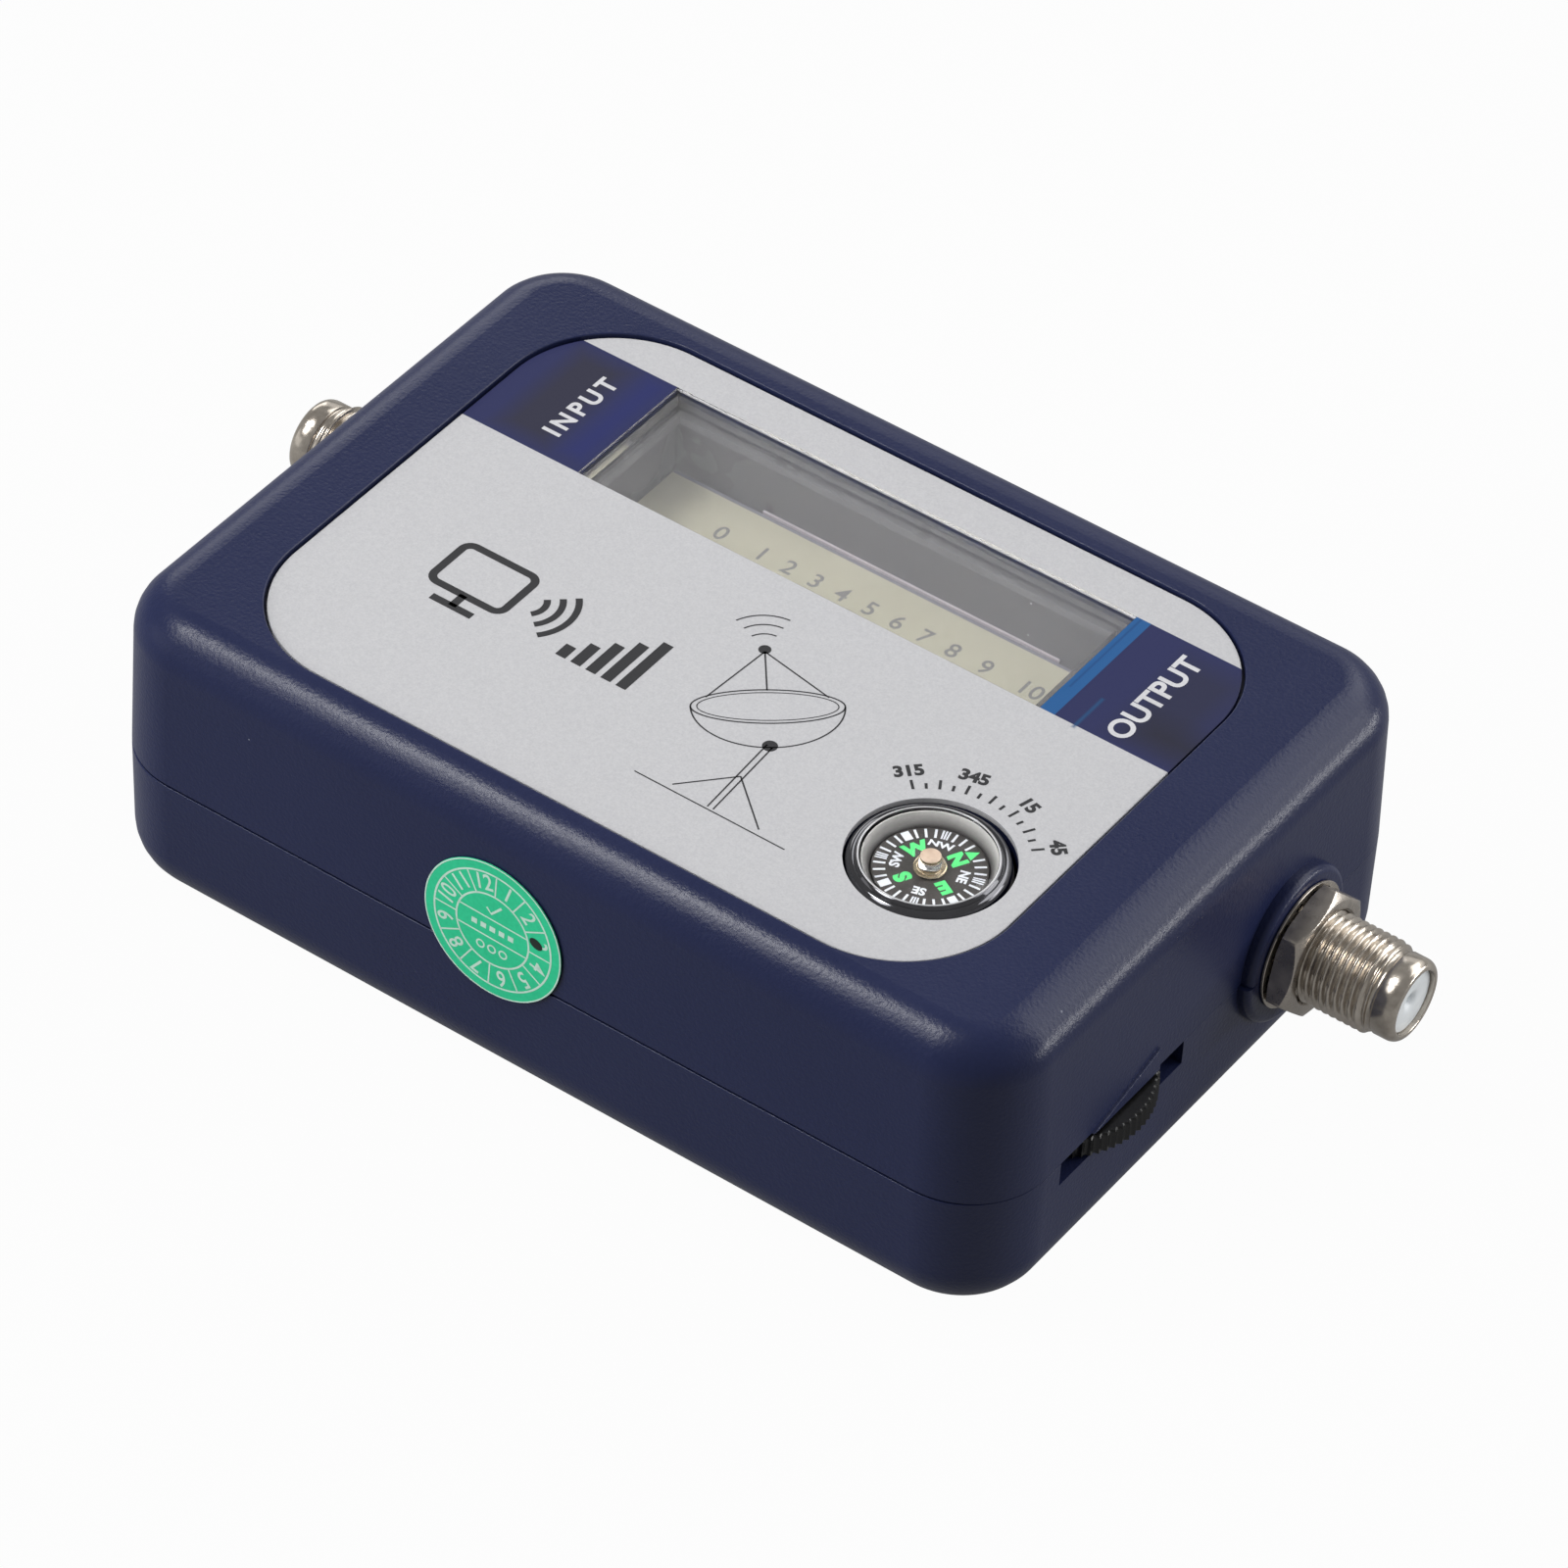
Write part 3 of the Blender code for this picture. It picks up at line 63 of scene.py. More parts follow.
# Camera, floor and lamps
view = {
    "eye": (0.310894, -0.460444, 0.530159),
    "right": (0.80979, 0.58536, 0.03995),
    "up": (-0.42237, 0.53434, 0.73217),
    "back": (0.40724, -0.60978, 0.67994),
    "lens": 182.816,        # millimetres on a 36 mm sensor
}
studio = {
    "floorColour": (0.24, 0.24, 0.24),
    "floorGlow": 0.97,        # how far the floor is plain white to the eye
    "floorShine": 0.16,       # the same in reflections
    "worldStrength": 0.09,        # on matt surfaces
    "worldShine": 0.22,       # how far the sky is white in reflections
    "lamps": [
        # name, place, aimed at, size, watts, share of the light that also shows in reflections
        ("overheadLeft", (-0.36, -0.24, 0.77), (0.0, 0.0, 0.02), (0.20, 0.25), 3.3, 1.0),
        ("overheadFall", (-0.38, -0.50, 0.70), (0.0, 0.0, 0.02), (0.24, 0.30), 1.3, 1.0),
        ("frontLeft", (-0.78, -0.70, 0.28), (0.0, 0.0, 0.015), (0.80, 0.46), 9.2, 0.08),
        ("rearRight", (0.70, 0.56, 0.055), (0.03, 0.0, 0.03), (0.56, 0.07), 2.3, 1.0),
        ("rightFill", (0.80, 0.10, 0.40), (0.0, 0.0, 0.015), (0.50, 0.40), 1.3, 0.0),
        ("rearHigh", (0.30, 0.80, 0.80), (0.0, 0.0, 0.015), (1.10, 0.66), 6.0, 1.0),
        ("rearMiddle", (0.73, 0.66, 0.40), (0.0, 0.0, 0.015), (0.44, 0.40), 1.5, 1.0),
        ("rearLeft", (-0.85, 0.74, 0.45), (0.0, 0.0, 0.015), (0.60, 0.40), 2.2, 0.7),
        ("rearSoft", (-0.10, 1.10, 0.45), (0.0, 0.0, 0.015), (1.60, 0.45), 2.0, 0.7),
    ],
}


def placeCamera():
    lens = bpy.data.cameras.new("camera")
    lens.lens = view["lens"]
    lens.sensor_width = 36.0
    lens.clip_start = 0.05
    lens.clip_end = 10.0
    camera = bpy.data.objects.new("camera", lens)
    axes = Matrix((view["right"], view["up"], view["back"])).transposed().to_4x4()
    axes.translation = view["eye"]
    camera.matrix_world = axes
    bpy.context.scene.collection.objects.link(camera)
    bpy.context.scene.camera = camera


# A node whose inputs, by name or number, are linked to sockets or set to values.
def newNode(tree, kind, inputs=None):
    node = tree.nodes.new(kind)
    for label, value in (inputs or {}).items():
        if isinstance(value, bpy.types.NodeSocket):
            tree.links.new(value, node.inputs[label])
        else:
            node.inputs[label].default_value = value
    return node


# A Math node fed by sockets or numbers; it returns its output socket.
def mathNode(tree, operation, first, second, clamp=False):
    node = newNode(tree, "ShaderNodeMath", {0: first, 1: second})
    node.operation = operation
    node.use_clamp = clamp
    return node.outputs[0]


# First shader where the factor is 0 and second where it is 1, into the tree's output.
def mixShaders(tree, factor, first, second, output):
    mix = newNode(tree, "ShaderNodeMixShader", {"Fac": factor, 1: first.outputs[0], 2: second.outputs[0]})
    tree.links.new(mix.outputs[0], output.inputs["Surface"])


# How far a surface is plain white: glow to the eye, shine in reflections, 0 for the light it gives.
def whiteShare(tree, glow, shine):
    path = newNode(tree, "ShaderNodeLightPath").outputs
    seen = mathNode(tree, "MULTIPLY", path["Is Camera Ray"], glow)
    mirrored = mathNode(tree, "MULTIPLY", path["Is Glossy Ray"], shine)
    return mathNode(tree, "MAXIMUM", seen, mirrored)


# Matt ground that the camera, metal and glass see as white, with the shadow kept faint.
def whiteGround(name, colour, glow, shine):
    material = bpy.data.materials.new(name)
    material.use_nodes = True
    tree = material.node_tree
    tree.nodes.clear()
    output = newNode(tree, "ShaderNodeOutputMaterial")
    matt = newNode(tree, "ShaderNodeBsdfDiffuse", {"Color": (*colour, 1.0)})
    white = newNode(tree, "ShaderNodeEmission", {"Strength": 1.0})
    mixShaders(tree, whiteShare(tree, glow, shine), matt, white, output)
    return material


def setStage():
    side = 3.0
    corners = [(-side, -side, 0), (side, -side, 0), (side, side, 0), (-side, side, 0)]
    mesh = bpy.data.meshes.new("floor")
    mesh.from_pydata(corners, [], [(0, 1, 2, 3)])
    ground = whiteGround("floorWhite", studio["floorColour"], studio["floorGlow"], studio["floorShine"])
    mesh.materials.append(ground)
    floor = bpy.data.objects.new("floor", mesh)
    floor.location.z = cadBox[0][2] - 0.02 * mm
    bpy.context.scene.collection.objects.link(floor)
    world = bpy.data.worlds.new("studio")
    bpy.context.scene.world = world
    world.use_nodes = True
    tree = world.node_tree
    dim = tree.nodes["Background"]
    dim.inputs["Color"].default_value = (1.0, 1.0, 1.0, 1.0)
    dim.inputs["Strength"].default_value = studio["worldStrength"]
    bright = newNode(tree, "ShaderNodeBackground", {"Color": (1.0, 1.0, 1.0, 1.0)})
    mixShaders(tree, whiteShare(tree, 1.0, studio["worldShine"]), dim, bright, tree.nodes["World Output"])
    for name, place, target, size, watts, shine in studio["lamps"]:
        if shine > 0:
            addLamp(name, place, target, size, watts * shine, True)
        if shine < 1:
            addLamp(name + "Matt", place, target, size, watts * (1 - shine), False)
    bpy.context.scene.view_settings.view_transform = "Standard"


def addLamp(name, place, target, size, watts, mirrored):
    lamp = bpy.data.lights.new(name, "AREA")
    lamp.shape = "RECTANGLE"
    lamp.size = size[0]
    lamp.size_y = size[1]
    lamp.energy = watts
    thing = bpy.data.objects.new(name, lamp)
    thing.location = place
    thing.rotation_euler = vectorToEuler(np.array(target) - np.array(place))
    thing.visible_glossy = mirrored
    bpy.context.scene.collection.objects.link(thing)


# The turn that points a lamp's -Z along the aim.
def vectorToEuler(aim):
    flat = math.hypot(aim[0], aim[1])
    return (math.atan2(flat, -aim[2]), 0.0, math.atan2(aim[1], aim[0]) - math.pi / 2)


placeCamera()
setStage()
print("stage and camera set")


# Surfaces from arrays
# Corner numbers of the quads between neighbouring rows of points; each row closes on itself.
def gridQuads(rows, columns):
    row = np.arange(rows - 1)[:, None] * columns
    column = np.arange(columns)[None, :]
    following = (column + 1) % columns
    quads = np.stack([row + column, row + following, row + columns + following, row + columns + column], -1)
    return quads.reshape(-1, 4)


# A mesh of an (n, 3) array of points, an (m, 4) array of quads and any many-sided end faces.
def fillMesh(name, points, quads, caps=()):
    mesh = bpy.data.meshes.new(name)
    corners = np.concatenate([quads.ravel(), *[np.asarray(cap) for cap in caps]]).astype(np.int32)
    counts = np.concatenate([np.full(len(quads), 4), [len(cap) for cap in caps]]).astype(np.int32)
    starts = np.concatenate([[0], np.cumsum(counts)[:-1]]).astype(np.int32)
    mesh.vertices.add(len(points))
    mesh.vertices.foreach_set("co", np.ascontiguousarray(points, dtype=np.float32).ravel())
    mesh.loops.add(len(corners))
    mesh.loops.foreach_set("vertex_index", corners)
    mesh.polygons.add(len(counts))
    mesh.polygons.foreach_set("loop_start", starts)
    mesh.update(calc_edges=True)
    mesh.validate()
    return mesh


# A mesh of rows of points, an array of (row, column, 3); capped closes both ends.
def gridMesh(name, points, capped=False):
    rows, columns = points.shape[:2]
    last = (rows - 1) * columns
    caps = [np.arange(columns)[::-1], last + np.arange(columns)] if capped else ()
    return fillMesh(name, points.reshape(-1, 3), gridQuads(rows, columns), caps)


# One mesh of many (points, faces) pairs.
def joinCopies(name, copies):
    offset = 0
    points = []
    faces = []
    for placed, corners in copies:
        points.append(placed)
        faces.extend((np.asarray(corners) + offset).tolist())
        offset += len(placed)
    mesh = bpy.data.meshes.new(name)
    mesh.from_pydata(np.concatenate(points), [], faces)
    return mesh


# Smooth shading, with edges kept sharp where faces meet at more than the angle.
def smoothUnder(mesh, degrees):
    mesh.shade_smooth()
    mesh.set_sharp_from_angle(angle=math.radians(degrees))


# Merges doubled points, closes poles and points the faces outwards.
def tidyMesh(mesh, merge=0.0005 * mm, turnOut=True):
    work = bmesh.new()
    work.from_mesh(mesh)
    bmesh.ops.remove_doubles(work, verts=work.verts[:], dist=merge)
    bmesh.ops.dissolve_degenerate(work, edges=work.edges[:], dist=merge)
    if turnOut:
        bmesh.ops.recalc_face_normals(work, faces=work.faces[:])
    work.to_mesh(mesh)
    work.free()
    return mesh


# Puts a finished mesh in the scene at the origin, riding on its body.
def addPiece(name, mesh, material, body="case", standsFor=(), sharp=38):
    mesh.materials.clear()
    mesh.materials.append(material)
    if sharp is not None:
        smoothUnder(mesh, sharp)
    thing = bpy.data.objects.new(name, mesh)
    bpy.context.scene.collection.objects.link(thing)
    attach(thing, body)
    if standsFor:
        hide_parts(*standsFor)
    return thing


# An open or closed line's corners rounded: each corner becomes an arc that touches both sides.
def roundedLine(points, radii, steps=6):
    line = []
    count = len(points)
    for i in range(count):
        here = np.array(points[i], float)
        radius = radii[i]
        if radius == 0:
            line.append(here)
            continue
        before = np.array(points[i - 1], float) - here
        after = np.array(points[(i + 1) % count], float) - here
        before /= np.linalg.norm(before)
        after /= np.linalg.norm(after)
        half = math.acos(np.clip(before @ after, -1, 1)) / 2
        reach = radius / math.tan(half)
        middle = here + (before + after) / np.linalg.norm(before + after) * radius / math.sin(half)
        start = here + before * reach - middle
        end = here + after * reach - middle
        whole = math.atan2(start[0] * end[1] - start[1] * end[0], start @ end)
        for share in np.linspace(0, 1, steps + 1):
            turn = whole * share
            line.append(middle + np.array([
                start[0] * math.cos(turn) - start[1] * math.sin(turn),
                start[0] * math.sin(turn) + start[1] * math.cos(turn),
            ]))
    return np.array(line)


def fullTurn(steps):
    return np.linspace(0, 2 * np.pi, steps, endpoint=False)


# Points round Z, one row to each height: x = r cos a, y = r sin a, z = h.
def roundZ(radii, heights, angles):
    radii, heights, angles = np.broadcast_arrays(radii, heights, angles)
    return np.stack([radii * np.cos(angles), radii * np.sin(angles), heights], -1)


# A profile that runs up its outer side, turned round Z; a closed one comes back to its start.
def turnedMesh(name, profile, steps=96, closed=False):
    profile = np.asarray(profile, float)
    if closed:
        profile = np.vstack([profile, profile[:1]])
    return tidyMesh(gridMesh(name, roundZ(profile[:, :1], profile[:, 1:], fullTurn(steps))), turnOut=False)


# Points at offsets in millimetres from a place; a profile's points are radius and height.
def pointsFrom(x, y, offsets):
    return [(x + across * mm, y + along * mm) for across, along in offsets]


# Turns a mesh about Z, lays it along X towards the side where one is given, and moves it.
def moved(mesh, offset=(0, 0, 0), turn=0.0, side=0):
    if side:
        mesh.transform(Matrix.Rotation(side * math.pi / 2, 4, "Y") @ Matrix.Rotation(turn, 4, "Z"))
    elif turn:
        mesh.transform(Matrix.Rotation(turn, 4, "Z"))
    mesh.transform(Matrix.Translation(offset))
    return mesh


# Rows of rounded rectangles, one to each height. A corner's arc is centre + radius (cos a, sin a).
def roundedRings(halfX, halfY, corner, centreX, centreY, heights, arcSteps):
    quarter = np.linspace(0, np.pi / 2, arcSteps + 1)
    angles = np.concatenate([quarter + i * np.pi / 2 for i in range(4)])[None, :]
    signX = np.repeat([1, -1, -1, 1], arcSteps + 1)[None, :]
    signY = np.repeat([1, 1, -1, -1], arcSteps + 1)[None, :]
    halfX, halfY, corner, centreX, centreY, heights = [
        np.asarray(v, float)[:, None] for v in (halfX, halfY, corner, centreX, centreY, heights)
    ]
    x = centreX + signX * (halfX - corner) + corner * np.cos(angles)
    y = centreY + signY * (halfY - corner) + corner * np.sin(angles)
    return np.stack([x, y, np.broadcast_to(heights, x.shape)], -1)


# Shared shader effects
def newGroup(name, inputs, outputs):
    tree = bpy.data.node_groups.new(name, "ShaderNodeTree")
    for label, value in inputs:
        kind = "NodeSocketColor" if isinstance(value, tuple) else "NodeSocketFloat"
        socket = tree.interface.new_socket(name=label, in_out="INPUT", socket_type=kind)
        socket.default_value = value
    for label in outputs:
        kind = "NodeSocketColor" if label == "Color" else "NodeSocketFloat"
        tree.interface.new_socket(name=label, in_out="OUTPUT", socket_type=kind)
    return tree, tree.nodes.new("NodeGroupInput"), tree.nodes.new("NodeGroupOutput")


# Fine grain for a Bump node's Height, and a slow drift mixed with it for colour and roughness.
def makeGrain():
    tree, entry, leave = newGroup("surfaceGrain", [("Grain", 2500.0), ("Drift", 40.0)], ["Height", "Shade"])
    place = newNode(tree, "ShaderNodeTexCoord").outputs["Object"]
    fine, slow = [newNode(tree, "ShaderNodeTexNoise", {
        "Detail": detail, "Vector": place, "Scale": entry.outputs[label],
    }).outputs["Fac"] for label, detail in (("Grain", 2.0), ("Drift", 3.0))]
    tree.links.new(fine, leave.inputs["Height"])
    half = mathNode(tree, "ADD", mathNode(tree, "MULTIPLY", fine, 0.45),
                    mathNode(tree, "MULTIPLY", slow, 0.55))
    tree.links.new(half, leave.inputs["Shade"])
    return tree


# Sparse round specks: cells whose random value passes the amount, within a small distance of their point.
def makeDust():
    tree, entry, leave = newGroup("dustSpecks", [("Scale", 260.0), ("Amount", 0.1), ("Size", 0.05)], ["Mask"])
    place = newNode(tree, "ShaderNodeTexCoord").outputs["Object"]
    cells = newNode(tree, "ShaderNodeTexVoronoi", {"Vector": place, "Scale": entry.outputs["Scale"]})
    near = mathNode(tree, "LESS_THAN", cells.outputs["Distance"], entry.outputs["Size"])
    split = newNode(tree, "ShaderNodeSeparateColor", {"Color": cells.outputs["Color"]})
    chosen = mathNode(tree, "LESS_THAN", split.outputs["Red"], entry.outputs["Amount"])
    tree.links.new(mathNode(tree, "MULTIPLY", near, chosen), leave.inputs["Mask"])
    return tree


# 1 inside a rectangle of X and Y places, with edges as soft as asked.
def makeBox():
    tree, entry, leave = newGroup(
        "printedBox", [("Low X", -1.0), ("High X", 1.0), ("Low Y", -1.0), ("High Y", 1.0), ("Soft", 0.00002)],
        ["Mask"])
    place = newNode(tree, "ShaderNodeTexCoord").outputs["Object"]
    split = newNode(tree, "ShaderNodeSeparateXYZ", {0: place})
    mask = None
    for axis in ("X", "Y"):
        above = mathNode(tree, "SUBTRACT", split.outputs[axis], entry.outputs["Low " + axis])
        below = mathNode(tree, "SUBTRACT", entry.outputs["High " + axis], split.outputs[axis])
        least = mathNode(tree, "MINIMUM", above, below)
        mask = least if mask is None else mathNode(tree, "MINIMUM", mask, least)
    tree.links.new(mathNode(tree, "DIVIDE", mask, entry.outputs["Soft"], clamp=True), leave.inputs["Mask"])
    return tree


grainGroup = makeGrain()
dustGroup = makeDust()
boxGroup = makeBox()


# A material with one Principled shader, and short calls that add to its colour chain.
class Surface:
    def __init__(self, name, rough, metal=0.0, **sockets):
        self.material = bpy.data.materials.new(name)
        self.material.use_nodes = True
        self.tree = self.material.node_tree
        self.shader = self.tree.nodes["Principled BSDF"]
        self.rough = rough
        self.shader.inputs["Roughness"].default_value = rough
        self.shader.inputs["Metallic"].default_value = metal
        for label, value in sockets.items():
            self.shader.inputs[label.replace("_", " ")].default_value = value
        self.colour = None

    def group(self, tree, **values):
        node = newNode(self.tree, "ShaderNodeGroup")
        node.node_tree = tree
        for label, value in values.items():
            node.inputs[label.replace("_", " ")].default_value = value
        return node

    # Colour first where the mask is 0 and second where it is 1; the chain's colour if first is None.
    def mix(self, mask, first, second):
        node = newNode(self.tree, "ShaderNodeMix")
        node.data_type = "RGBA"
        self.tree.links.new(mask, node.inputs["Factor"])
        for socket, value in ((node.inputs["A"], first), (node.inputs["B"], second)):
            if isinstance(value, bpy.types.NodeSocket):
                self.tree.links.new(value, socket)
            else:
                socket.default_value = (*value, 1.0)
        self.colour = node.outputs["Result"]
        return self.colour

    # Grain in the normal, the two colours mixed by it, and a little of it in the roughness.
    def grain(self, grain, drift, depth, dark, light, roughSpread=0.0):
        effect = self.group(grainGroup, Grain=grain, Drift=drift)
        stretched = newNode(self.tree, "ShaderNodeMapRange", {
            "From Min": 0.32, "From Max": 0.68, "Value": effect.outputs["Shade"]}).outputs[0]
        self.mix(stretched, dark, light)
        if depth:
            bump = newNode(self.tree, "ShaderNodeBump", {
                "Strength": 1.0, "Distance": depth, "Height": effect.outputs["Height"]})
            self.tree.links.new(bump.outputs["Normal"], self.shader.inputs["Normal"])
        if roughSpread:
            span = newNode(self.tree, "ShaderNodeMapRange", {
                "To Min": self.rough - roughSpread, "To Max": self.rough + roughSpread, "Value": stretched})
            self.tree.links.new(span.outputs[0], self.shader.inputs["Roughness"])
        return self

    def dust(self, colour, scale=260.0, amount=0.1, size=0.05):
        specks = self.group(dustGroup, Scale=scale, Amount=amount, Size=size)
        self.mix(specks.outputs["Mask"], self.colour, colour)
        return self

    # A printed rectangle over what the chain holds so far.
    def printed(self, colour, lowX, highX, lowY, highY, soft=0.03 * mm):
        box = self.group(boxGroup, Low_X=lowX, High_X=highX, Low_Y=lowY, High_Y=highY, Soft=soft)
        self.mix(box.outputs["Mask"], self.colour, colour)
        return self

    def done(self):
        self.tree.links.new(self.colour, self.shader.inputs["Base Color"])
        return self.material


# A screen colour from 0 to 255 as the linear one that the shader takes.
def srgb(red, green, blue):
    value = np.array([red, green, blue]) / 255
    return tuple(np.where(value <= 0.04045, value / 12.92, ((value + 0.055) / 1.055) ** 2.4).tolist())


def navyPlastic():
    skin = Surface("navyPlastic", 0.30, IOR=1.46, Specular_IOR_Level=0.3)
    skin.grain(2700.0, 45.0, 0.036 * mm, srgb(30, 36, 67), srgb(34, 40, 72), 0.03)
    return skin.dust(srgb(112, 116, 132), 300.0, 0.05, 0.035).done()


# Case shells
case = {
    "length": 104.0 * mm, "width": 70.8 * mm, "height": 34.0 * mm,
    "parting": 15.45 * mm, "seamGap": 0.27 * mm, "seamEdge": 0.13 * mm,
    "seamShut": 0.8, "shutFrom": 44 * mm, "shutOver": 6 * mm,
    "corner": 8.9 * mm, "wall": 2.2 * mm, "floor": 2.2 * mm, "ceiling": 31.6 * mm, "innerRim": 1.8 * mm,
    "topFillet": 4.45 * mm, "bottomFillet": 5.75 * mm, "topDraft": 1.5, "bottomDraft": 0.75,
    "tongueInset": 1.2 * mm, "tongueHeight": 1.2 * mm, "tongueGap": 0.3 * mm,
    "rebateInset": 0.9 * mm,
    "pocket": {"x": -0.55 * mm, "y": -0.5 * mm, "halfX": 41.3 * mm, "halfY": 29.75 * mm,
               "corner": 12.5 * mm, "floor": 33.0 * mm, "edge": 0.15 * mm},
    "arcSteps": 24,
}
endWall = {
    "inside": 50.9 * mm, "boreEnds": (47 * mm, 56 * mm), "screwHole": (2.9 * mm, -2 * mm, 6 * mm),
    "connectorY": 13.3 * mm, "barrelHole": 4.93 * mm, "bossProud": 1.2 * mm, "bossRound": 0.7 * mm,
    "upperBoss": 8.0 * mm, "lowerBoss": 8.5 * mm,
    "slotFront": -24.25 * mm, "slotBack": -4.2 * mm, "slotBottom": 12.6 * mm, "cut": 0.16 * mm,
    "wedgeFront": -19.3 * mm, "wedgeBack": -8.6 * mm, "wedgeHeight": 2.7 * mm, "wedgeTip": 0.25 * mm,
    "wedgeProud": 0.3 * mm, "wedgeDrop": 0.5 * mm,
}
window = {"left": -27.6 * mm, "right": 26.1 * mm, "front": 8.0 * mm, "back": 24.15 * mm}
compass = {"x": 29.85 * mm, "y": -15.0 * mm, "hole": 8.05 * mm}
postPlaces = [(sx * 43.5 * mm, sy * 28.5 * mm) for sx in (-1, 1) for sy in (-1, 1)]


# (inset, height) points from the inner face, over the seam, up the drafted wall and round the fillet.
# inset is how far a point stands in from the outline at the parting plane.
def shellSection(level, fillet, draft, inner, innerRim, lip, lipInset):
    upward = level > case["parting"]
    sign = 1 if upward else -1
    seam = case["parting"] + sign * case["seamGap"] / 2
    lean = math.tan(math.radians(draft))
    outerTop = lean * abs(level - case["parting"])
    angle = math.pi / 2 + math.radians(draft)
    rounding = fillet * math.tan(angle / 2)
    innerLean = lean * abs(inner - case["parting"])
    corners = [
        (case["wall"] + innerLean + 6 * mm, inner),
        (case["wall"] + innerLean, inner),
        (case["wall"] + lean * abs(lip - case["parting"]), lip),
        (lipInset, lip),
        (lipInset, seam),
        (lean * abs(seam - case["parting"]), seam),
        (outerTop, level),
        (outerTop + fillet + 0.02 * mm, level),
    ]
    radii = [0, innerRim, 0.1 * mm, 0, 0, case["seamEdge"], rounding, 0]
    return roundedLine(corners, radii, 9)


# The section carried round the case's outline. At each inset the outline keeps its parallel distance.
def shellMesh(name, section, pocket=None):
    inset, height = section.T
    halfX = case["length"] / 2 - inset
    halfY = case["width"] / 2 - inset
    corner = np.maximum(case["corner"] - inset, 0.4 * mm)
    centreX = np.zeros(len(inset))
    centreY = np.zeros(len(inset))
    if pocket:
        top = case["height"]
        edge = pocket["edge"]
        rim = roundedLine([(2 * mm, top), (0, top), (0, pocket["floor"]), (-1.5 * mm, pocket["floor"])],
                          [0, edge, 0, 0], 4)[1:]
        halfX = np.append(halfX, pocket["halfX"] + rim[:, 0])
        halfY = np.append(halfY, pocket["halfY"] + rim[:, 0])
        corner = np.append(corner, pocket["corner"] + rim[:, 0])
        height = np.append(height, rim[:, 1])
        centreX = np.append(centreX, np.full(len(rim), pocket["x"]))
        centreY = np.append(centreY, np.full(len(rim), pocket["y"]))
    rings = roundedRings(halfX, halfY, corner, centreX, centreY, height, case["arcSteps"])
    return tidyMesh(gridMesh(name, rings, capped=True))


def cutterObject(name, mesh):
    thing = bpy.data.objects.new(name, mesh)
    bpy.context.scene.collection.objects.link(thing)
    return thing


def boxMesh(name, low, high):
    (ax, ay, az), (bx, by, bz) = low, high
    points = [(ax, ay, az), (bx, ay, az), (bx, by, az), (ax, by, az),
              (ax, ay, bz), (bx, ay, bz), (bx, by, bz), (ax, by, bz)]
    faces = [(0, 3, 2, 1), (4, 5, 6, 7), (0, 1, 5, 4), (1, 2, 6, 5), (2, 3, 7, 6), (3, 0, 4, 7)]
    mesh = bpy.data.meshes.new(name)
    mesh.from_pydata(points, [], faces)
    return mesh


def rodMesh(name, x, y, radius, low, high, steps=64):
    mesh = turnedMesh(name, [(0, low), (radius, low), (radius, high), (0, high)], steps)
    return moved(mesh, (x, y, 0))


# A rod across each end wall on the connectors' axis, with its outer rim rounded where asked.
def endRods(name, radius, low, high, rounding=0.0, steps=64):
    profile = roundedLine([(0, low), (radius, low), (radius, high), (0, high)], [0, 0, rounding, 0])
    place = (0, endWall["connectorY"], case["parting"])
    return [moved(turnedMesh(name, profile, steps), place, side=side) for side in (1, -1)]


# The discs proud of the end walls, the seats of the connectors' nuts.
def bossMeshes(radius):
    face = case["length"] / 2 + endWall["bossProud"]
    return endRods("boss", radius, endWall["inside"], face, endWall["bossRound"], 96)


def windowCutter(low, high):
    return boxMesh("windowHole", (window["left"], window["front"], low),
                   (window["right"], window["back"], high))


def compassCutter(low, high, steps):
    return rodMesh("compassHole", compass["x"], compass["y"], compass["hole"], low, high, steps)


# The raised arrow beside the wheel: thin at the front, thick at the back, round along its top.
def wedgeMesh(name):
    seam = case["parting"] - endWall["wedgeDrop"]
    lean = math.tan(math.radians(case["topDraft"]))
    proud = endWall["wedgeProud"]
    sections = []
    for end, tall in (("wedgeFront", "wedgeTip"), ("wedgeBack", "wedgeHeight")):
        top = case["parting"] + endWall[tall]
        section = [(endWall["inside"], seam), (case["length"] / 2 + proud, seam)]
        for angle in np.radians(np.arange(0, 91, 15)):
            z = top - proud + proud * math.sin(angle)
            section.append((case["length"] / 2 - lean * (z - case["parting"]) + proud * math.cos(angle), z))
        section.append((endWall["inside"], top))
        sections.append([(x, endWall[end], z) for x, z in section])
    count = len(sections[0])
    faces = [list(range(count)), list(range(2 * count - 1, count - 1, -1))]
    faces += [(i, (i + 1) % count, count + (i + 1) % count, count + i) for i in range(count)]
    mesh = bpy.data.meshes.new(name)
    mesh.from_pydata(sections[0] + sections[1], [], faces)
    return tidyMesh(mesh)


# Exact Booleans, applied to the mesh; the helper meshes are deleted.
def carve(thing, added=(), removed=()):
    helpers = []
    for operation, meshes in (("UNION", added), ("DIFFERENCE", removed)):
        for mesh in meshes:
            helper = cutterObject(mesh.name, mesh)
            helpers.append(helper)
            step = thing.modifiers.new(operation.lower(), "BOOLEAN")
            step.operation = operation
            step.solver = "EXACT"
            step.object = helper
    graph = bpy.context.evaluated_depsgraph_get()
    carved = bpy.data.meshes.new_from_object(thing.evaluated_get(graph), depsgraph=graph)
    thing.modifiers.clear()
    thing.data = carved
    for helper in helpers:
        bpy.data.objects.remove(helper)
    return thing


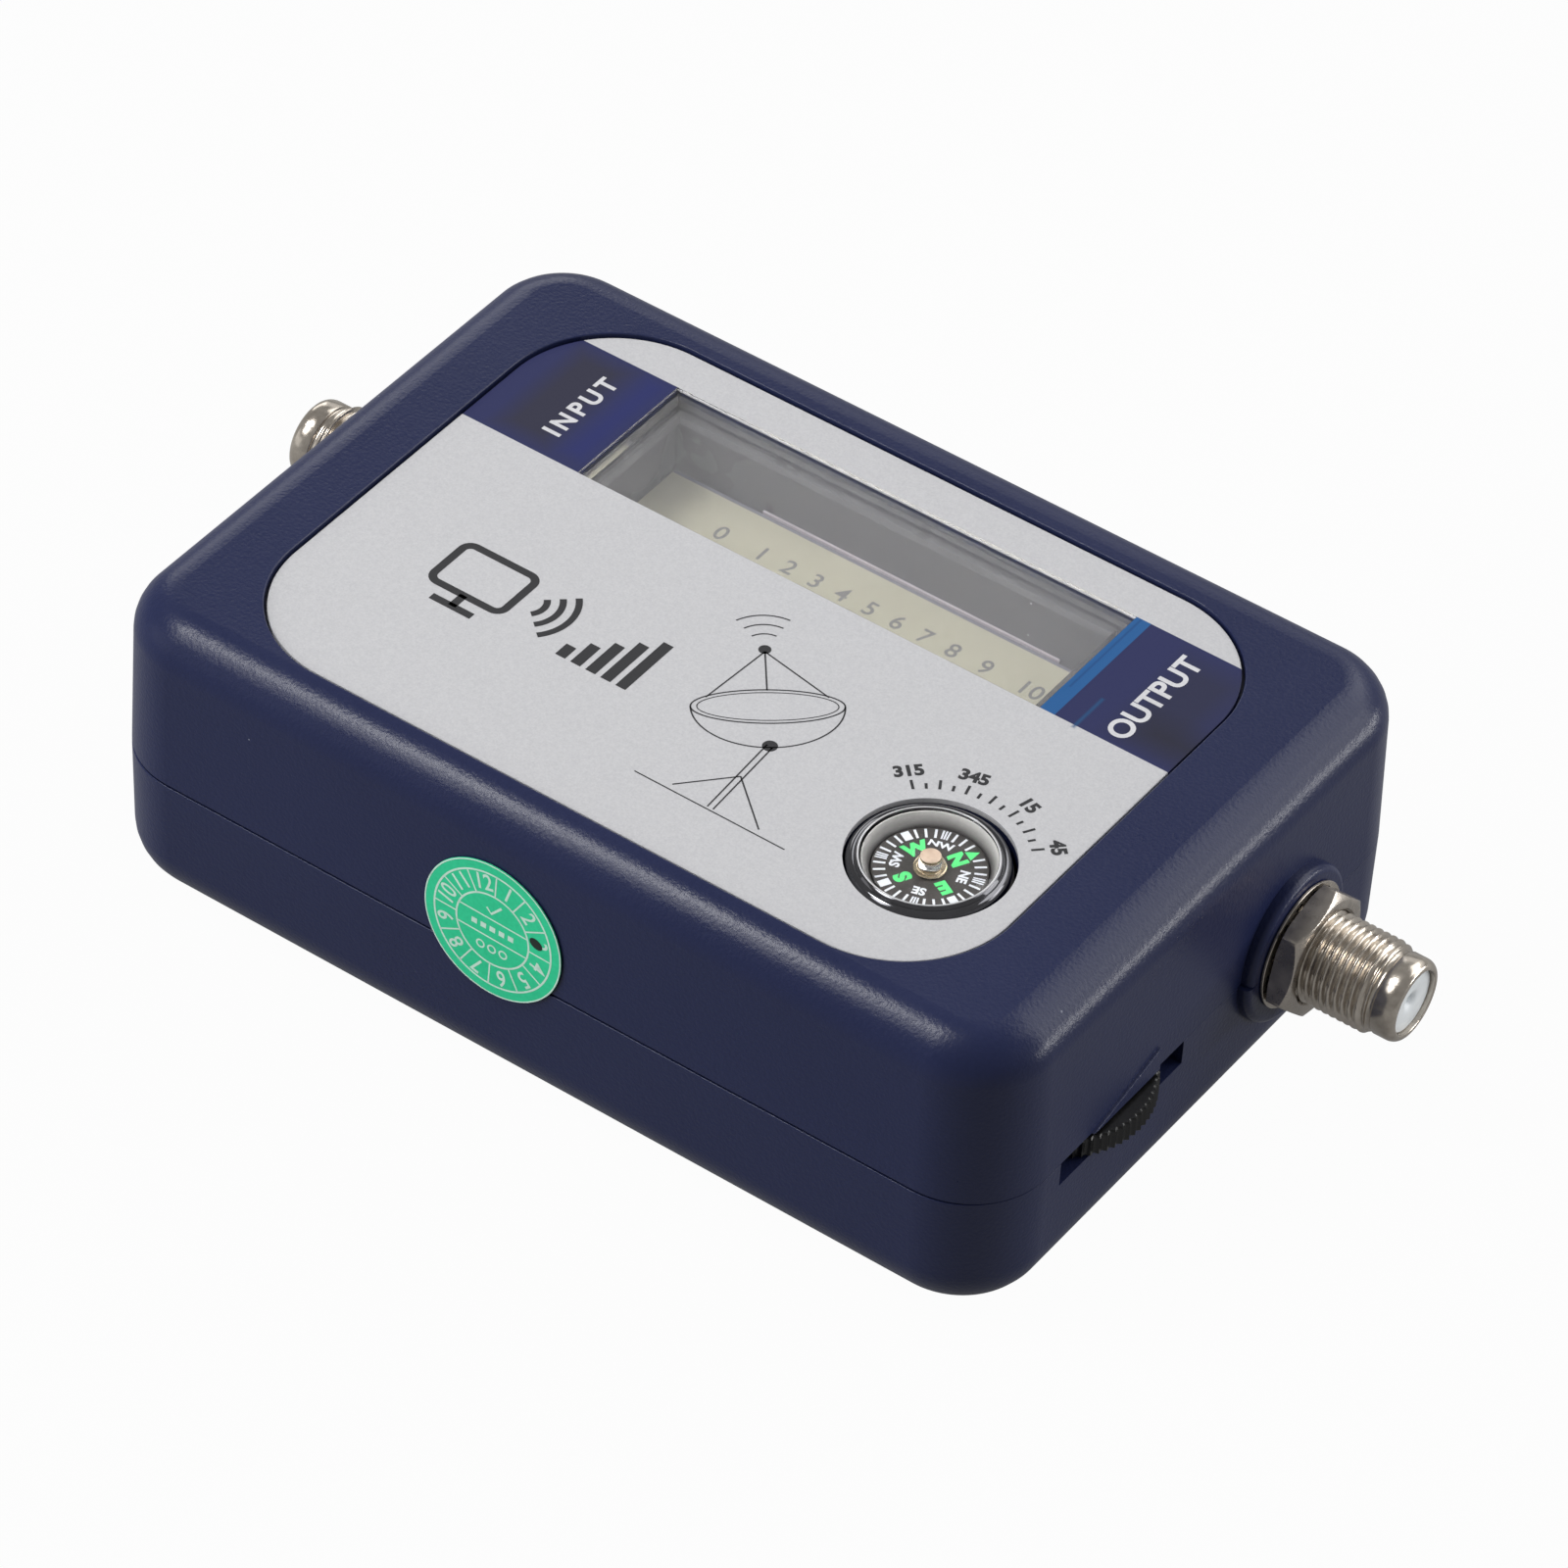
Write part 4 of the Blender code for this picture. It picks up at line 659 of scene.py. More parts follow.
# A small rounding along every hard edge, and normals that follow the larger faces.
def softEdges(thing, width, segments=2, angle=40):
    bevel = thing.modifiers.new("edges", "BEVEL")
    bevel.width = width
    bevel.segments = segments
    bevel.limit_method = "ANGLE"
    bevel.angle_limit = math.radians(angle)
    bevel.use_clamp_overlap = True
    bevel.miter_outer = "MITER_ARC"
    weighted = thing.modifiers.new("normals", "WEIGHTED_NORMAL")
    weighted.keep_sharp = True
    return thing


# The seam closes up towards the wheel's end: heights beside it come nearer the parting plane.
def shutSeam(mesh):
    points = np.empty(len(mesh.vertices) * 3)
    mesh.vertices.foreach_get("co", points)
    points = points.reshape(-1, 3)
    shut = case["seamShut"] * np.clip((points[:, 0] - case["shutFrom"]) / case["shutOver"], 0, 1)
    offset = points[:, 2] - case["parting"]
    points[:, 2] -= np.where(np.abs(offset) < 2 * case["seamGap"], offset * shut, 0)
    mesh.vertices.foreach_set("co", points.ravel())
    mesh.update()


def makeShells(material):
    half = case["length"] / 2
    tongue = case["parting"] + case["tongueHeight"]
    upperSection = shellSection(case["height"], case["topFillet"], case["topDraft"], case["ceiling"],
                                case["innerRim"], tongue + case["tongueGap"], case["rebateInset"])
    upper = addPiece("upperShell", shellMesh("upperShell", upperSection, case["pocket"]), material,
                     standsFor=["upper_shell"], sharp=None)
    seam = case["parting"] + case["seamGap"] / 2
    carve(upper, added=[wedgeMesh("wedge"), *bossMeshes(endWall["upperBoss"])])
    carve(upper, removed=[
        boxMesh("below", (-80 * mm, -60 * mm, -5 * mm), (80 * mm, 60 * mm, seam)),
        windowCutter(30 * mm, 36 * mm),
        compassCutter(24.7 * mm, 36 * mm, 96),
        *endRods("bore", endWall["barrelHole"], *endWall["boreEnds"]),
    ])
    lowerSection = shellSection(0.0, case["bottomFillet"], case["bottomDraft"], case["floor"],
                                case["innerRim"], tongue, case["tongueInset"])
    lower = addPiece("lowerShell", shellMesh("lowerShell", lowerSection), material,
                     standsFor=["lower_shell"], sharp=None)
    carve(lower, added=bossMeshes(endWall["lowerBoss"]))
    above = case["parting"] - case["seamGap"] / 2
    slotHigh = tongue + 2 * mm
    rim = half - case["tongueInset"] + 0.05 * mm
    outside = [boxMesh("above", (low, 3 * mm, above), (low + 5 * mm, 24 * mm, 26 * mm))
               for low in (rim, -rim - 5 * mm)]
    carve(lower, removed=[
        *outside,
        boxMesh("slot", (half - 5 * mm, endWall["slotFront"], endWall["slotBottom"]),
                (half + 3 * mm, endWall["slotBack"], slotHigh)),
        *endRods("bore", endWall["barrelHole"], *endWall["boreEnds"]),
        *[rodMesh("screwRecess", x, y, *endWall["screwHole"], 40) for x, y in postPlaces],
    ])
    for thing in (upper, lower):
        tidyMesh(thing.data, turnOut=False)
        shutSeam(thing.data)
        smoothUnder(thing.data, 40)
        softEdges(thing, endWall["cut"])
    print("case shells made", len(upper.data.polygons), len(lower.data.polygons))


makeShells(navyPlastic())


# Print and line work
# Flat letters as a mesh. height is the capitals' height; bold widens each stroke by that length.
def textMesh(name, words, height, place, turn=0.0, bold=0.0, spacing=1.0, squeeze=1.0):
    curve = bpy.data.curves.new(name, "FONT")
    curve.body = words
    curve.size = height / 0.69
    curve.offset = bold
    curve.space_character = spacing
    curve.align_x = "CENTER"
    curve.align_y = "CENTER"
    curve.resolution_u = 6
    curve.fill_mode = "FRONT"
    holder = bpy.data.objects.new(name, curve)
    bpy.context.scene.collection.objects.link(holder)
    graph = bpy.context.evaluated_depsgraph_get()
    mesh = bpy.data.meshes.new_from_object(holder.evaluated_get(graph), depsgraph=graph)
    bpy.data.objects.remove(holder)
    mesh.transform(Matrix.Diagonal((squeeze, 1, 1, 1)))
    return moved(mesh, place, turn)


# A flat strip along a line in the XY plane: each point goes half a width to either side of it.
def ribbon(points, width, closed=False):
    line = np.asarray(points, float)
    if closed:
        ahead = np.roll(line, -1, 0)
        behind = np.roll(line, 1, 0)
    else:
        ahead = np.vstack([line[1:], 2 * line[-1] - line[-2]])
        behind = np.vstack([2 * line[0] - line[1], line[:-1]])
    along = ahead - behind
    along /= np.linalg.norm(along, axis=1)[:, None]
    across = np.stack([-along[:, 1], along[:, 0]], -1) * width / 2
    both = np.concatenate([line - across, line + across])
    count = len(line)
    first = np.arange(count if closed else count - 1)
    second = (first + 1) % count
    quads = np.stack([first, second, second + count, first + count], -1)
    return both, quads


# A filled circle as a fan round its middle.
def disc(x, y, radius, steps=24):
    angle = fullTurn(steps)
    rim = np.stack([x + radius * np.cos(angle), y + radius * np.sin(angle)], -1)
    first = np.arange(steps)
    fan = np.stack([np.full(steps, steps), first, (first + 1) % steps], -1)
    return np.vstack([rim, [x, y]]), fan


# The point at a radius and an angle in radians from a middle.
def polar(x, y, radius, angle):
    return x + radius * math.cos(angle), y + radius * math.sin(angle)


# Flat points turned by an angle in radians and moved.
def turnFlat(points, tilt, x, y):
    points = np.asarray(points)
    return np.stack([points[:, 0] * math.cos(tilt) - points[:, 1] * math.sin(tilt) + x,
                     points[:, 0] * math.sin(tilt) + points[:, 1] * math.cos(tilt) + y], -1)


def arc(x, y, radius, start, end, steps=24, squash=1.0):
    angle = np.radians(np.linspace(start, end, steps))
    return np.stack([x + radius * np.cos(angle), y + squash * radius * np.sin(angle)], -1)


def circle(x, y, radius, width, steps):
    return ribbon(arc(x, y, radius, 0, 360, steps + 1)[:-1], width, closed=True)


# One mesh of flat (points, faces) shapes, all at one height.
def flatMesh(name, shapes, level):
    raised = [(np.column_stack([points, np.full(len(points), level)]), faces) for points, faces in shapes]
    return joinCopies(name, raised)


def joinMeshes(name, meshes):
    work = bmesh.new()
    for mesh in meshes:
        work.from_mesh(mesh)
        bpy.data.meshes.remove(mesh)
    whole = bpy.data.meshes.new(name)
    work.to_mesh(whole)
    work.free()
    return whole


# Face label
label = {
    "x": -0.55 * mm, "y": -0.5 * mm, "halfX": 41.0 * mm, "halfY": 29.45 * mm, "corner": 12.2 * mm,
    "bottom": 33.1 * mm, "top": 33.7 * mm, "edge": 0.12 * mm, "filmBottom": 33.42 * mm,
    "ink": 0.012 * mm, "bandFront": 8.0 * mm, "bandBack": 24.15 * mm,
    "stripeEnd": 27.75 * mm, "bold": 0.09 * mm,
}


def labelPrint():
    skin = Surface("labelPrint", 0.5, IOR=1.5, Specular_IOR_Level=0.2)
    skin.grain(5200.0, 2600.0, 0.002 * mm, srgb(181, 181, 184), srgb(193, 193, 195), 0.04)
    front, back = label["bandFront"], label["bandBack"]
    stripe = window["right"]
    printAndSheen = [
        # colour, left, right, front, back, softness of the edges
        ((38, 42, 82), -60 * mm, 60 * mm, front, back, 0.03 * mm),
        # painted sheen: the next two soft-edged patches are light glancing off the band, not print
        ((42, 42, 60), -39.5 * mm, -31.2 * mm, front, back, 2.5 * mm),
        ((34, 40, 92), -31.4 * mm, -27.6 * mm, front + 1 * mm, back, 1.6 * mm),
        ((34, 86, 140), stripe - 1 * mm, label["stripeEnd"], front, back, 0.03 * mm),
        ((24, 60, 112), stripe + 0.35 * mm, stripe + 0.75 * mm, front + 4 * mm, back, 0.3 * mm),
        # painted sheen: the next two soft-edged patches too; the crisp-edged patches are print
        ((38, 40, 66), 31.5 * mm, 41.5 * mm, front, back, 3.5 * mm),
        ((34, 34, 48), 33.0 * mm, 44.0 * mm, front, 15.5 * mm, 4.5 * mm),
        ((30, 74, 116), 29.75 * mm, 30.35 * mm, front - 0.5 * mm, 12.8 * mm, 0.35 * mm),
    ]
    for colour, *edges in printAndSheen:
        skin.printed(srgb(*colour), *edges)
    return skin.done()


def inkSurface(name, colour, rough=0.5):
    skin = Surface(name, rough)
    shade = tuple(c * 0.86 for c in colour)
    return skin.grain(4200.0, 300.0, 0.0, shade, colour, 0.05).done()


# Clear moulded plastic that lets lamps through to what lies behind it.
def clearPlastic(name, tint, rough=0.02, haze=0.0, index=1.46):
    material = bpy.data.materials.new(name)
    material.use_nodes = True
    tree = material.node_tree
    shader = tree.nodes["Principled BSDF"]
    for label, value in (("Base Color", (*tint, 1.0)), ("Roughness", rough),
                         ("Transmission Weight", 1.0 - haze), ("IOR", index)):
        shader.inputs[label].default_value = value
    clear = newNode(tree, "ShaderNodeBsdfTransparent", {"Color": (*[c * 0.96 for c in tint], 1.0)})
    path = newNode(tree, "ShaderNodeLightPath")
    mixShaders(tree, path.outputs["Is Shadow Ray"], shader, clear, tree.nodes["Material Output"])
    return material


def labelMesh():
    edge = label["edge"]
    low, high = label["bottom"], label["top"]
    inset = np.array([0, 0, edge * 0.3, edge])
    rings = roundedRings(label["halfX"] - inset, label["halfY"] - inset, label["corner"] - inset,
                         np.full(4, label["x"]), np.full(4, label["y"]),
                         [low, high - edge, high - edge * 0.3, high], 32)
    return gridMesh("faceLabel", rings, capped=True)


def makeLabel():
    plate = addPiece("faceLabel", labelMesh(), labelPrint(),
                     standsFor=["face_label"], sharp=None)
    carve(plate, removed=[
        windowCutter(32 * mm, 35 * mm),
        compassCutter(32 * mm, 35 * mm, 128),
    ])
    smoothUnder(plate.data, 40)
    weighted = plate.modifiers.new("normals", "WEIGHTED_NORMAL")
    weighted.keep_sharp = True
    slack = 0.01 * mm
    film = boxMesh("windowFilm",
                   (window["left"] + slack, window["front"] + slack, label["filmBottom"]),
                   (window["right"] - slack, window["back"] - slack, label["top"]))
    addPiece("windowFilm", film, clearPlastic("clearFilm", (0.93, 0.93, 0.93)))
    print("label made")


title = {
    "left": -29.5 * mm, "front": -15.2 * mm, "line": 0.85 * mm, "cornerRadius": 1.0 * mm,
    # offsets from the left front corner, in millimetres
    "screen": [(0, 2.4), (8.4, 2.4), (8.4, 8.6), (0, 8.6)],
    "stand": [[(1.8, 0.5), (6.6, 0.5)], [(4.2, 0.5), (4.2, 2.4)]],
    "waves": (9.3 * mm, 5.5 * mm), "bars": 16.4, "barStep": 1.75, "barRise": 1.45, "barWidth": 1.15 * mm,
}
words = {
    "left": {"text": "INPUT", "x": -33.05 * mm, "y": 15.9 * mm, "height": 1.95 * mm, "spacing": 1.35},
    "right": {"text": "OUTPUT", "x": 33.85 * mm, "y": 15.7 * mm, "height": 2.35 * mm, "spacing": 1.0},
}
dish = {
    "x": 6.2 * mm, "y": -7.6 * mm, "line": 0.16 * mm, "tilt": 38, "radius": 7.2 * mm,
    "feed": 7.9 * mm, "ground": -22.0 * mm, "mast": 0.32 * mm,
}
arcMarks = {
    "inner": 9.3 * mm, "outer": 10.05 * mm, "longer": 0.5 * mm, "width": 0.28 * mm,
    "numbers": 11.75 * mm, "height": 1.35 * mm,
}


# A plain pictogram: a screen, three waves and five rising bars, in heavy strokes.
def titleShapes():
    left, front, line = title["left"], title["front"], title["line"]
    screen = roundedLine(pointsFrom(left, front, title["screen"]), [title["cornerRadius"]] * 4, 6)
    shapes = [ribbon(screen, line, closed=True)]
    for bar in title["stand"]:
        shapes.append(ribbon(pointsFrom(left, front, bar), line))
    waveX, waveY = title["waves"]
    for i in range(3):
        wave = arc(left + waveX, front + waveY, (1.9 + 1.5 * i) * mm, -42, 42, 18)
        shapes.append(ribbon(wave, line * 0.8))
    for i in range(5):
        x = left + (title["bars"] + title["barStep"] * i) * mm
        bar = pointsFrom(x, front, [(0, 1.2), (0, 3.0 + title["barRise"] * i)])
        shapes.append(ribbon(bar, title["barWidth"]))
    return shapes


# A line drawing of a dish on a mast, with its feed arm, stays, ground line and three waves.
def dishShapes():
    line, radius, feed, mast = dish["line"], dish["radius"], dish["feed"], dish["mast"]

    def tilted(points):
        return turnFlat(points, math.radians(dish["tilt"]), dish["x"], dish["y"])

    shapes = [ribbon(tilted(arc(0, 0, radius, 0, 360, 65, 0.32)[:-1]), line, closed=True),
              ribbon(tilted(arc(0, 0, 6.6 * mm, 0, 360, 65, 0.29)[:-1]), line * 0.7, closed=True),
              ribbon(tilted(arc(0, 0, radius, 180, 360, 40, 0.78)), line)]
    for angle in (35, 90, 145):
        foot = (7.0 * mm * math.cos(math.radians(angle)), 2.2 * mm * math.sin(math.radians(angle)))
        shapes.append(ribbon(tilted([foot, (0, 7.6 * mm)]), line))
    horn, fan = disc(0, feed, 0.62 * mm)
    shapes.append((tilted(horn), fan))
    hubX, hubY = tilted([(0, -5.4 * mm)])[0]
    baseX, baseY = hubX + 0.6 * mm, dish["ground"]
    for offset in (-mast, mast):
        shapes.append(ribbon([(hubX + offset, hubY), (baseX + offset, baseY)], line))
    for reach in (-4.6, 5.2):
        stay = pointsFrom(hubX, hubY, [(0.3, -5.0)]) + pointsFrom(baseX, baseY, [(reach, 0.4)])
        shapes.append(ribbon(stay, line))
    shapes.append(ribbon(pointsFrom(baseX, baseY, [(-8.4, -0.3), (8.6, -0.3)]), line * 0.9))
    shapes.append(disc(hubX, hubY, 0.75 * mm))
    for reach in (2.2, 3.5, 4.8):
        shapes.append(ribbon(tilted(arc(0, feed, reach * mm, 58, 122, 16)), line))
    return shapes


# Short marks every 7.5 degrees on an arc over the compass.
def arcShapes():
    shapes = []
    for i in range(-6, 7):
        angle = math.radians(90 + i * 7.5)
        far = arcMarks["outer"] + (arcMarks["longer"] if i % 2 == 0 else 0)
        ends = [polar(compass["x"], compass["y"], r, angle) for r in (arcMarks["inner"], far)]
        shapes.append(ribbon(ends, arcMarks["width"]))
    return shapes


def makePrint():
    level = label["top"] + label["ink"]
    dark = inkSurface("darkInk", srgb(26, 26, 30))
    white = inkSurface("whiteInk", srgb(206, 206, 210))
    addPiece("titleMark", flatMesh("titleMark", titleShapes(), level), dark)
    addPiece("dishDrawing", flatMesh("dishDrawing", dishShapes(), level), dark)
    numbers = []
    for degrees, text in ((-45, "315"), (-15, "345"), (15, "15"), (45, "45")):
        angle = math.radians(90 - degrees)
        place = (*polar(compass["x"], compass["y"], arcMarks["numbers"], angle), level)
        numbers.append(textMesh("arcNumber", text, arcMarks["height"], place, -math.radians(degrees),
                                label["bold"]))
    addPiece("arcMarks", joinMeshes("arcMarks", [flatMesh("marks", arcShapes(), level), *numbers]), dark)
    for side, word in words.items():
        mesh = textMesh("word", word["text"], word["height"], (word["x"], word["y"], level), math.pi / 2,
                        label["bold"], word["spacing"])
        addPiece(side + "Word", mesh, white)
    print("print made")


makeLabel()
makePrint()


# Compass
rose = {
    "north": 62.0, "level": 32.42 * mm, "bottom": 32.22 * mm, "radius": 5.40 * mm,
    "tickInner": 4.08 * mm, "tickOuter": 5.22 * mm, "tickWidth": 0.24 * mm,
    "letter": 1.48 * mm, "letterRadius": 2.72 * mm, "small": 0.9 * mm, "smallRadius": 3.15 * mm,
    "edge": 0.03 * mm, "ink": 0.015 * mm, "block": 0.82 * mm, "thin": 0.72, "spread": 3.4, "step": 11.25,
    # the cap over the card: radius and height above its foot, in millimetres
    "cap": [(0, 0), (1.42, 0), (1.54, 0.06), (1.58, 0.14), (1.52, 0.24), (1.36, 0.29), (1.14, 0.25),
            (1.10, 0.31), (0.5, 0.35), (0, 0.35)],
    # the arrow at north: distance from the middle and to the side, in millimetres
    "arrow": [(3.86, -0.62), (3.86, 0.62), (5.12, 0.0)],
}
capsule = {
    "x": -0.18 * mm, "outer": 7.70 * mm, "inner": 6.40 * mm, "top": 34.0 * mm, "bottom": 32.4 * mm,
    "lip": 6.62 * mm, "lensEdge": 33.78 * mm, "crown": 0.36 * mm, "studRadius": 1.0 * mm,
    "lens": 0.18 * mm, "lipRound": 0.09 * mm, "lipDrop": 0.10 * mm,
    # radius and height in millimetres
    "bowl": [(0, 25.0), (7.3, 25.0), (7.7, 25.4), (7.7, 32.3), (6.35, 32.3), (5.55, 32.15), (5.5, 26.2),
             (0, 26.2)],
    "liner": [(6.37, 32.32), (6.37, 33.62), (6.30, 33.62), (6.12, 33.1), (5.80, 32.6), (5.52, 32.36),
              (5.52, 32.32)],
    # the ring's shoulder from its outer radius and top, and the button from the stud and the lens's edge
    "shoulder": [(0, -0.98), (-0.04, -0.84), (-0.13, -0.68), (-0.27, -0.52), (-0.45, -0.39), (-0.62, -0.33),
                 (-0.74, -0.35), (-0.80, -0.38)],
    "button": [(-0.06, 0.12), (-0.02, 0.15), (-0.02, 0.26), (-0.08, 0.30)],
}


def darkGloss(name, colour, rough, metal=0.0):
    skin = Surface(name, rough, metal, Coat_Weight=0.6, Coat_Roughness=0.05)
    return skin.grain(1800.0, 220.0, 0.0, tuple(c * 0.8 for c in colour), colour, 0.03).done()


# Grey plastic with painted shade: it darkens from the lens down to the card.
def linerPlastic():
    skin = Surface("linerPlastic", 0.30)
    skin.grain(3000.0, 250.0, 0.0, srgb(176, 174, 172), srgb(192, 190, 188))
    place = newNode(skin.tree, "ShaderNodeTexCoord").outputs["Object"]
    split = newNode(skin.tree, "ShaderNodeSeparateXYZ", {0: place})
    # painted shade: the colour goes darker lower in the well, towards the card
    fade = newNode(skin.tree, "ShaderNodeMapRange", {
        "From Min": rose["level"], "From Max": capsule["top"] - 0.45 * mm,
        "To Min": 1.0, "To Max": 0.0, "Value": split.outputs["Z"]})
    skin.mix(fade.outputs[0], skin.colour, srgb(58, 56, 56))
    return skin.done()


def atCompass(mesh, offset=0.0):
    return moved(mesh, (compass["x"] + offset, compass["y"], 0))


# The bowl and its grey cone, darker towards the card with painted shade; the shoulder ring, painted dark as
# shade for the hole seen through its clear plastic; its lip, painted light as a highlight; and the lens with
# a stud under it.
def makeCapsule():
    bowl = turnedMesh("compassBowl", pointsFrom(0, 0, capsule["bowl"]), 128)
    addPiece("compassBowl", atCompass(bowl), linerPlastic(),
             standsFor=["compass_bowl"])
    liner = turnedMesh("compassLiner", pointsFrom(0, 0, capsule["liner"]), 160, closed=True)
    addPiece("compassLiner", atCompass(liner), linerPlastic(), sharp=60)
    top, low, lip = capsule["top"], capsule["bottom"], capsule["lip"]
    outer, inner = capsule["outer"], capsule["inner"]
    shelf = top - 0.09 * mm
    ring = turnedMesh("compassRing", [
        (outer, low), *pointsFrom(outer, top, capsule["shoulder"]), (lip + 0.12 * mm, top - 0.20 * mm),
        (lip, shelf), (inner, shelf), (inner, low)], 192, closed=True)
    # painted shade: the ring is clear plastic, and its dark grey stands for the dark hole seen through it
    addPiece("compassRing", atCompass(ring, capsule["x"]),
             darkGloss("ringPaintedShade", srgb(96, 96, 100), 0.08, 0.95),
             standsFor=["compass_bezel"], sharp=50)
    middle = (lip - capsule["lipDrop"], top - capsule["lipDrop"])
    rim = [polar(*middle, capsule["lipRound"], angle) for angle in fullTurn(12)]
    # painted highlight: the lip is coloured near white for the bright line of light along the capsule's edge
    addPiece("compassLip", atCompass(turnedMesh("compassLip", rim, 192, closed=True), capsule["x"]),
             darkGloss("lipPaintedHighlight", srgb(206, 206, 208), 0.12), sharp=None)
    radius, edge, crown = inner - 0.04 * mm, capsule["lensEdge"], capsule["crown"]
    stud, foot = capsule["studRadius"], rose["level"] + 0.42 * mm
    over = [(radius * share, edge + crown * (1 - share ** 2)) for share in np.linspace(0, 1, 10)]
    under = [(r, z - capsule["lens"]) for r, z in over[::-1] if r > stud + 0.1 * mm]
    lens = turnedMesh("compassLens", (over + under + [(stud, edge), (stud, foot), (0, foot)])[::-1], 160)
    addPiece("compassLens", atCompass(lens), clearPlastic("lensPlastic", (0.96, 0.96, 0.96), index=1.25),
             standsFor=["compass_lens"], sharp=40)
    button = turnedMesh("lensButton", [
        (0, edge + 0.12 * mm), *pointsFrom(stud, edge, capsule["button"]), (0, edge + 0.32 * mm)], 64)
    skin = Surface("tanButton", 0.35)
    skin.grain(1500.0, 500.0, 0.0, srgb(170, 148, 130), srgb(196, 176, 158), 0.05)
    addPiece("lensButton", atCompass(button), skin.done())


# The card with its marks: cardinal blocks, triple marks half way between, three single ones beside each.
def makeRose():
    level, x, y = rose["level"] + rose["ink"], compass["x"], compass["y"]
    radius, low, high, edge = rose["radius"], rose["bottom"], rose["level"], rose["edge"]
    card = turnedMesh("roseCard", [
        (0, low), (radius - edge, low), (radius, low + edge),
        (radius, high - edge), (radius - edge, high), (0, high)], 128)
    black = Surface("cardBlack", 0.42)
    black.grain(2600.0, 300.0, 0.0, srgb(44, 41, 40), srgb(60, 56, 54), 0.05)
    addPiece("roseCard", atCompass(card), black.done(), "rose", ["compass_card"])

    def tick(bearing, width):
        ends = [polar(x, y, rose[end], math.radians(bearing)) for end in ("tickInner", "tickOuter")]
        whites.append(ribbon(ends, width))

    whites = []
    for quarter in range(4):
        north = rose["north"] - 90 * quarter
        if quarter:
            tick(north, rose["block"])
        for i in (1, 2, 3, 5, 6, 7):
            tick(north - rose["step"] * i, rose["tickWidth"])
        for i in (-1, 0, 1):
            tick(north - 45 + rose["spread"] * i, rose["tickWidth"] * rose["thin"])
    meshes = [flatMesh("ticks", whites, level)]
    for i, text in enumerate(("NE", "SE", "SW", "NW")):
        bearing = math.radians(rose["north"] - 45 - 90 * i)
        place = (*polar(x, y, rose["smallRadius"], bearing), level)
        meshes.append(textMesh("small", text, rose["small"], place, bearing - math.pi / 2, 0.05 * mm))
    addPiece("roseWhite", joinMeshes("roseWhite", meshes), inkSurface("roseWhiteInk", srgb(214, 218, 224)),
             "rose")
    greens = []
    for i, text in enumerate("NESW"):
        bearing = math.radians(rose["north"] - 90 * i)
        place = (*polar(x, y, rose["letterRadius"], bearing), level)
        greens.append(textMesh("letter", text, rose["letter"], place, bearing - math.pi / 2, 0.14 * mm))
    north = math.radians(rose["north"])
    out = np.array([math.cos(north), math.sin(north)])
    side = np.array([math.sin(north), -math.cos(north)])
    corners = [np.array([x, y]) + out * (r * mm) + side * (across * mm) for r, across in rose["arrow"]]
    greens.append(flatMesh("arrow", [(np.array(corners), np.array([[0, 1, 2]]))], level))
    addPiece("roseGreen", joinMeshes("roseGreen", greens), inkSurface("roseGreenInk", srgb(78, 212, 118)),
             "rose")
    cap = turnedMesh("roseCap", pointsFrom(0, rose["level"] + 0.02 * mm, rose["cap"]), 96)
    brass = Surface("turnedBrass", 0.22, 1.0)
    brass.grain(900.0, 400.0, 0.0, srgb(196, 178, 146), srgb(226, 212, 186), 0.06)
    addPiece("roseCap", atCompass(cap), brass.done(), "rose", ["compass_cap"])


makeCapsule()
makeRose()
print("compass made")


# Coaxial connectors
plug = {
    "y": 13.3 * mm, "z": 15.45 * mm, "pitch": 0.79375 * mm, "crest": 4.73 * mm, "root": 4.29 * mm,
    "thread": 3.0 * mm, "threadStart": 52.2 * mm, "chamfer": 0.35 * mm, "runOut": 0.45 * mm,
    "rootFlat": 0.10, "flanks": 0.78, "lastTurn": 0.25,        # shares of half a pitch, and of the height
    "groove": 4.02 * mm, "grooveWidth": 0.62 * mm,
    "tail": 4.4 * mm, "tailLength": 3.5 * mm, "flange": 6.0 * mm, "flangeFace": 5.9 * mm,
    "nose": 4.27 * mm, "noseRound": 1.0 * mm,
    "bore": 3.35 * mm, "insulator": 3.32 * mm, "recess": 0.42 * mm, "turnRows": 12, "steps": 120,
    # the insulator's hollow, radius and height in millimetres from its middle and its tip
    "hollow": [(1.3, -0.03), (1.0, -0.08), (0.78, -0.2), (0.62, -0.36), (0.5, -0.62), (0.42, -1.0),
               (0.25, -1.25), (0, -1.3)],
}
hexNut = {
    "start": 53.9 * mm, "end": 56.2 * mm, "flats": 12.1 * mm, "bore": 4.80 * mm, "turn": math.radians(15),
    "cone": 32, "coneInset": 0.12 * mm, "frontLift": 0.25 * mm, "softening": 0.05 * mm,
    # depths of the rows from each face, in millimetres
    "depths": [0, 0.05, 0.1, 0.15, 0.2, 0.26, 0.32, 0.38, 0.45, 0.52, 0.6, 0.7],
}
lockWasher = {"start": 53.3 * mm, "thick": 0.26 * mm, "outer": 6.62 * mm, "teeth": 14, "tooth": 0.9 * mm,
              "band": 0.5 * mm, "twist": 0.10 * mm, "edge": 0.05 * mm}


def nickelPlate():
    skin = Surface("nickelPlate", 0.2, 0.85)
    return skin.grain(1400.0, 180.0, 0.0, srgb(172, 163, 152), srgb(206, 198, 187), 0.05).done()


def nutPlate():
    skin = Surface("nutPlate", 0.28, 0.9)
    return skin.grain(900.0, 140.0, 0.0016 * mm, srgb(166, 159, 150), srgb(198, 190, 181), 0.08).done()


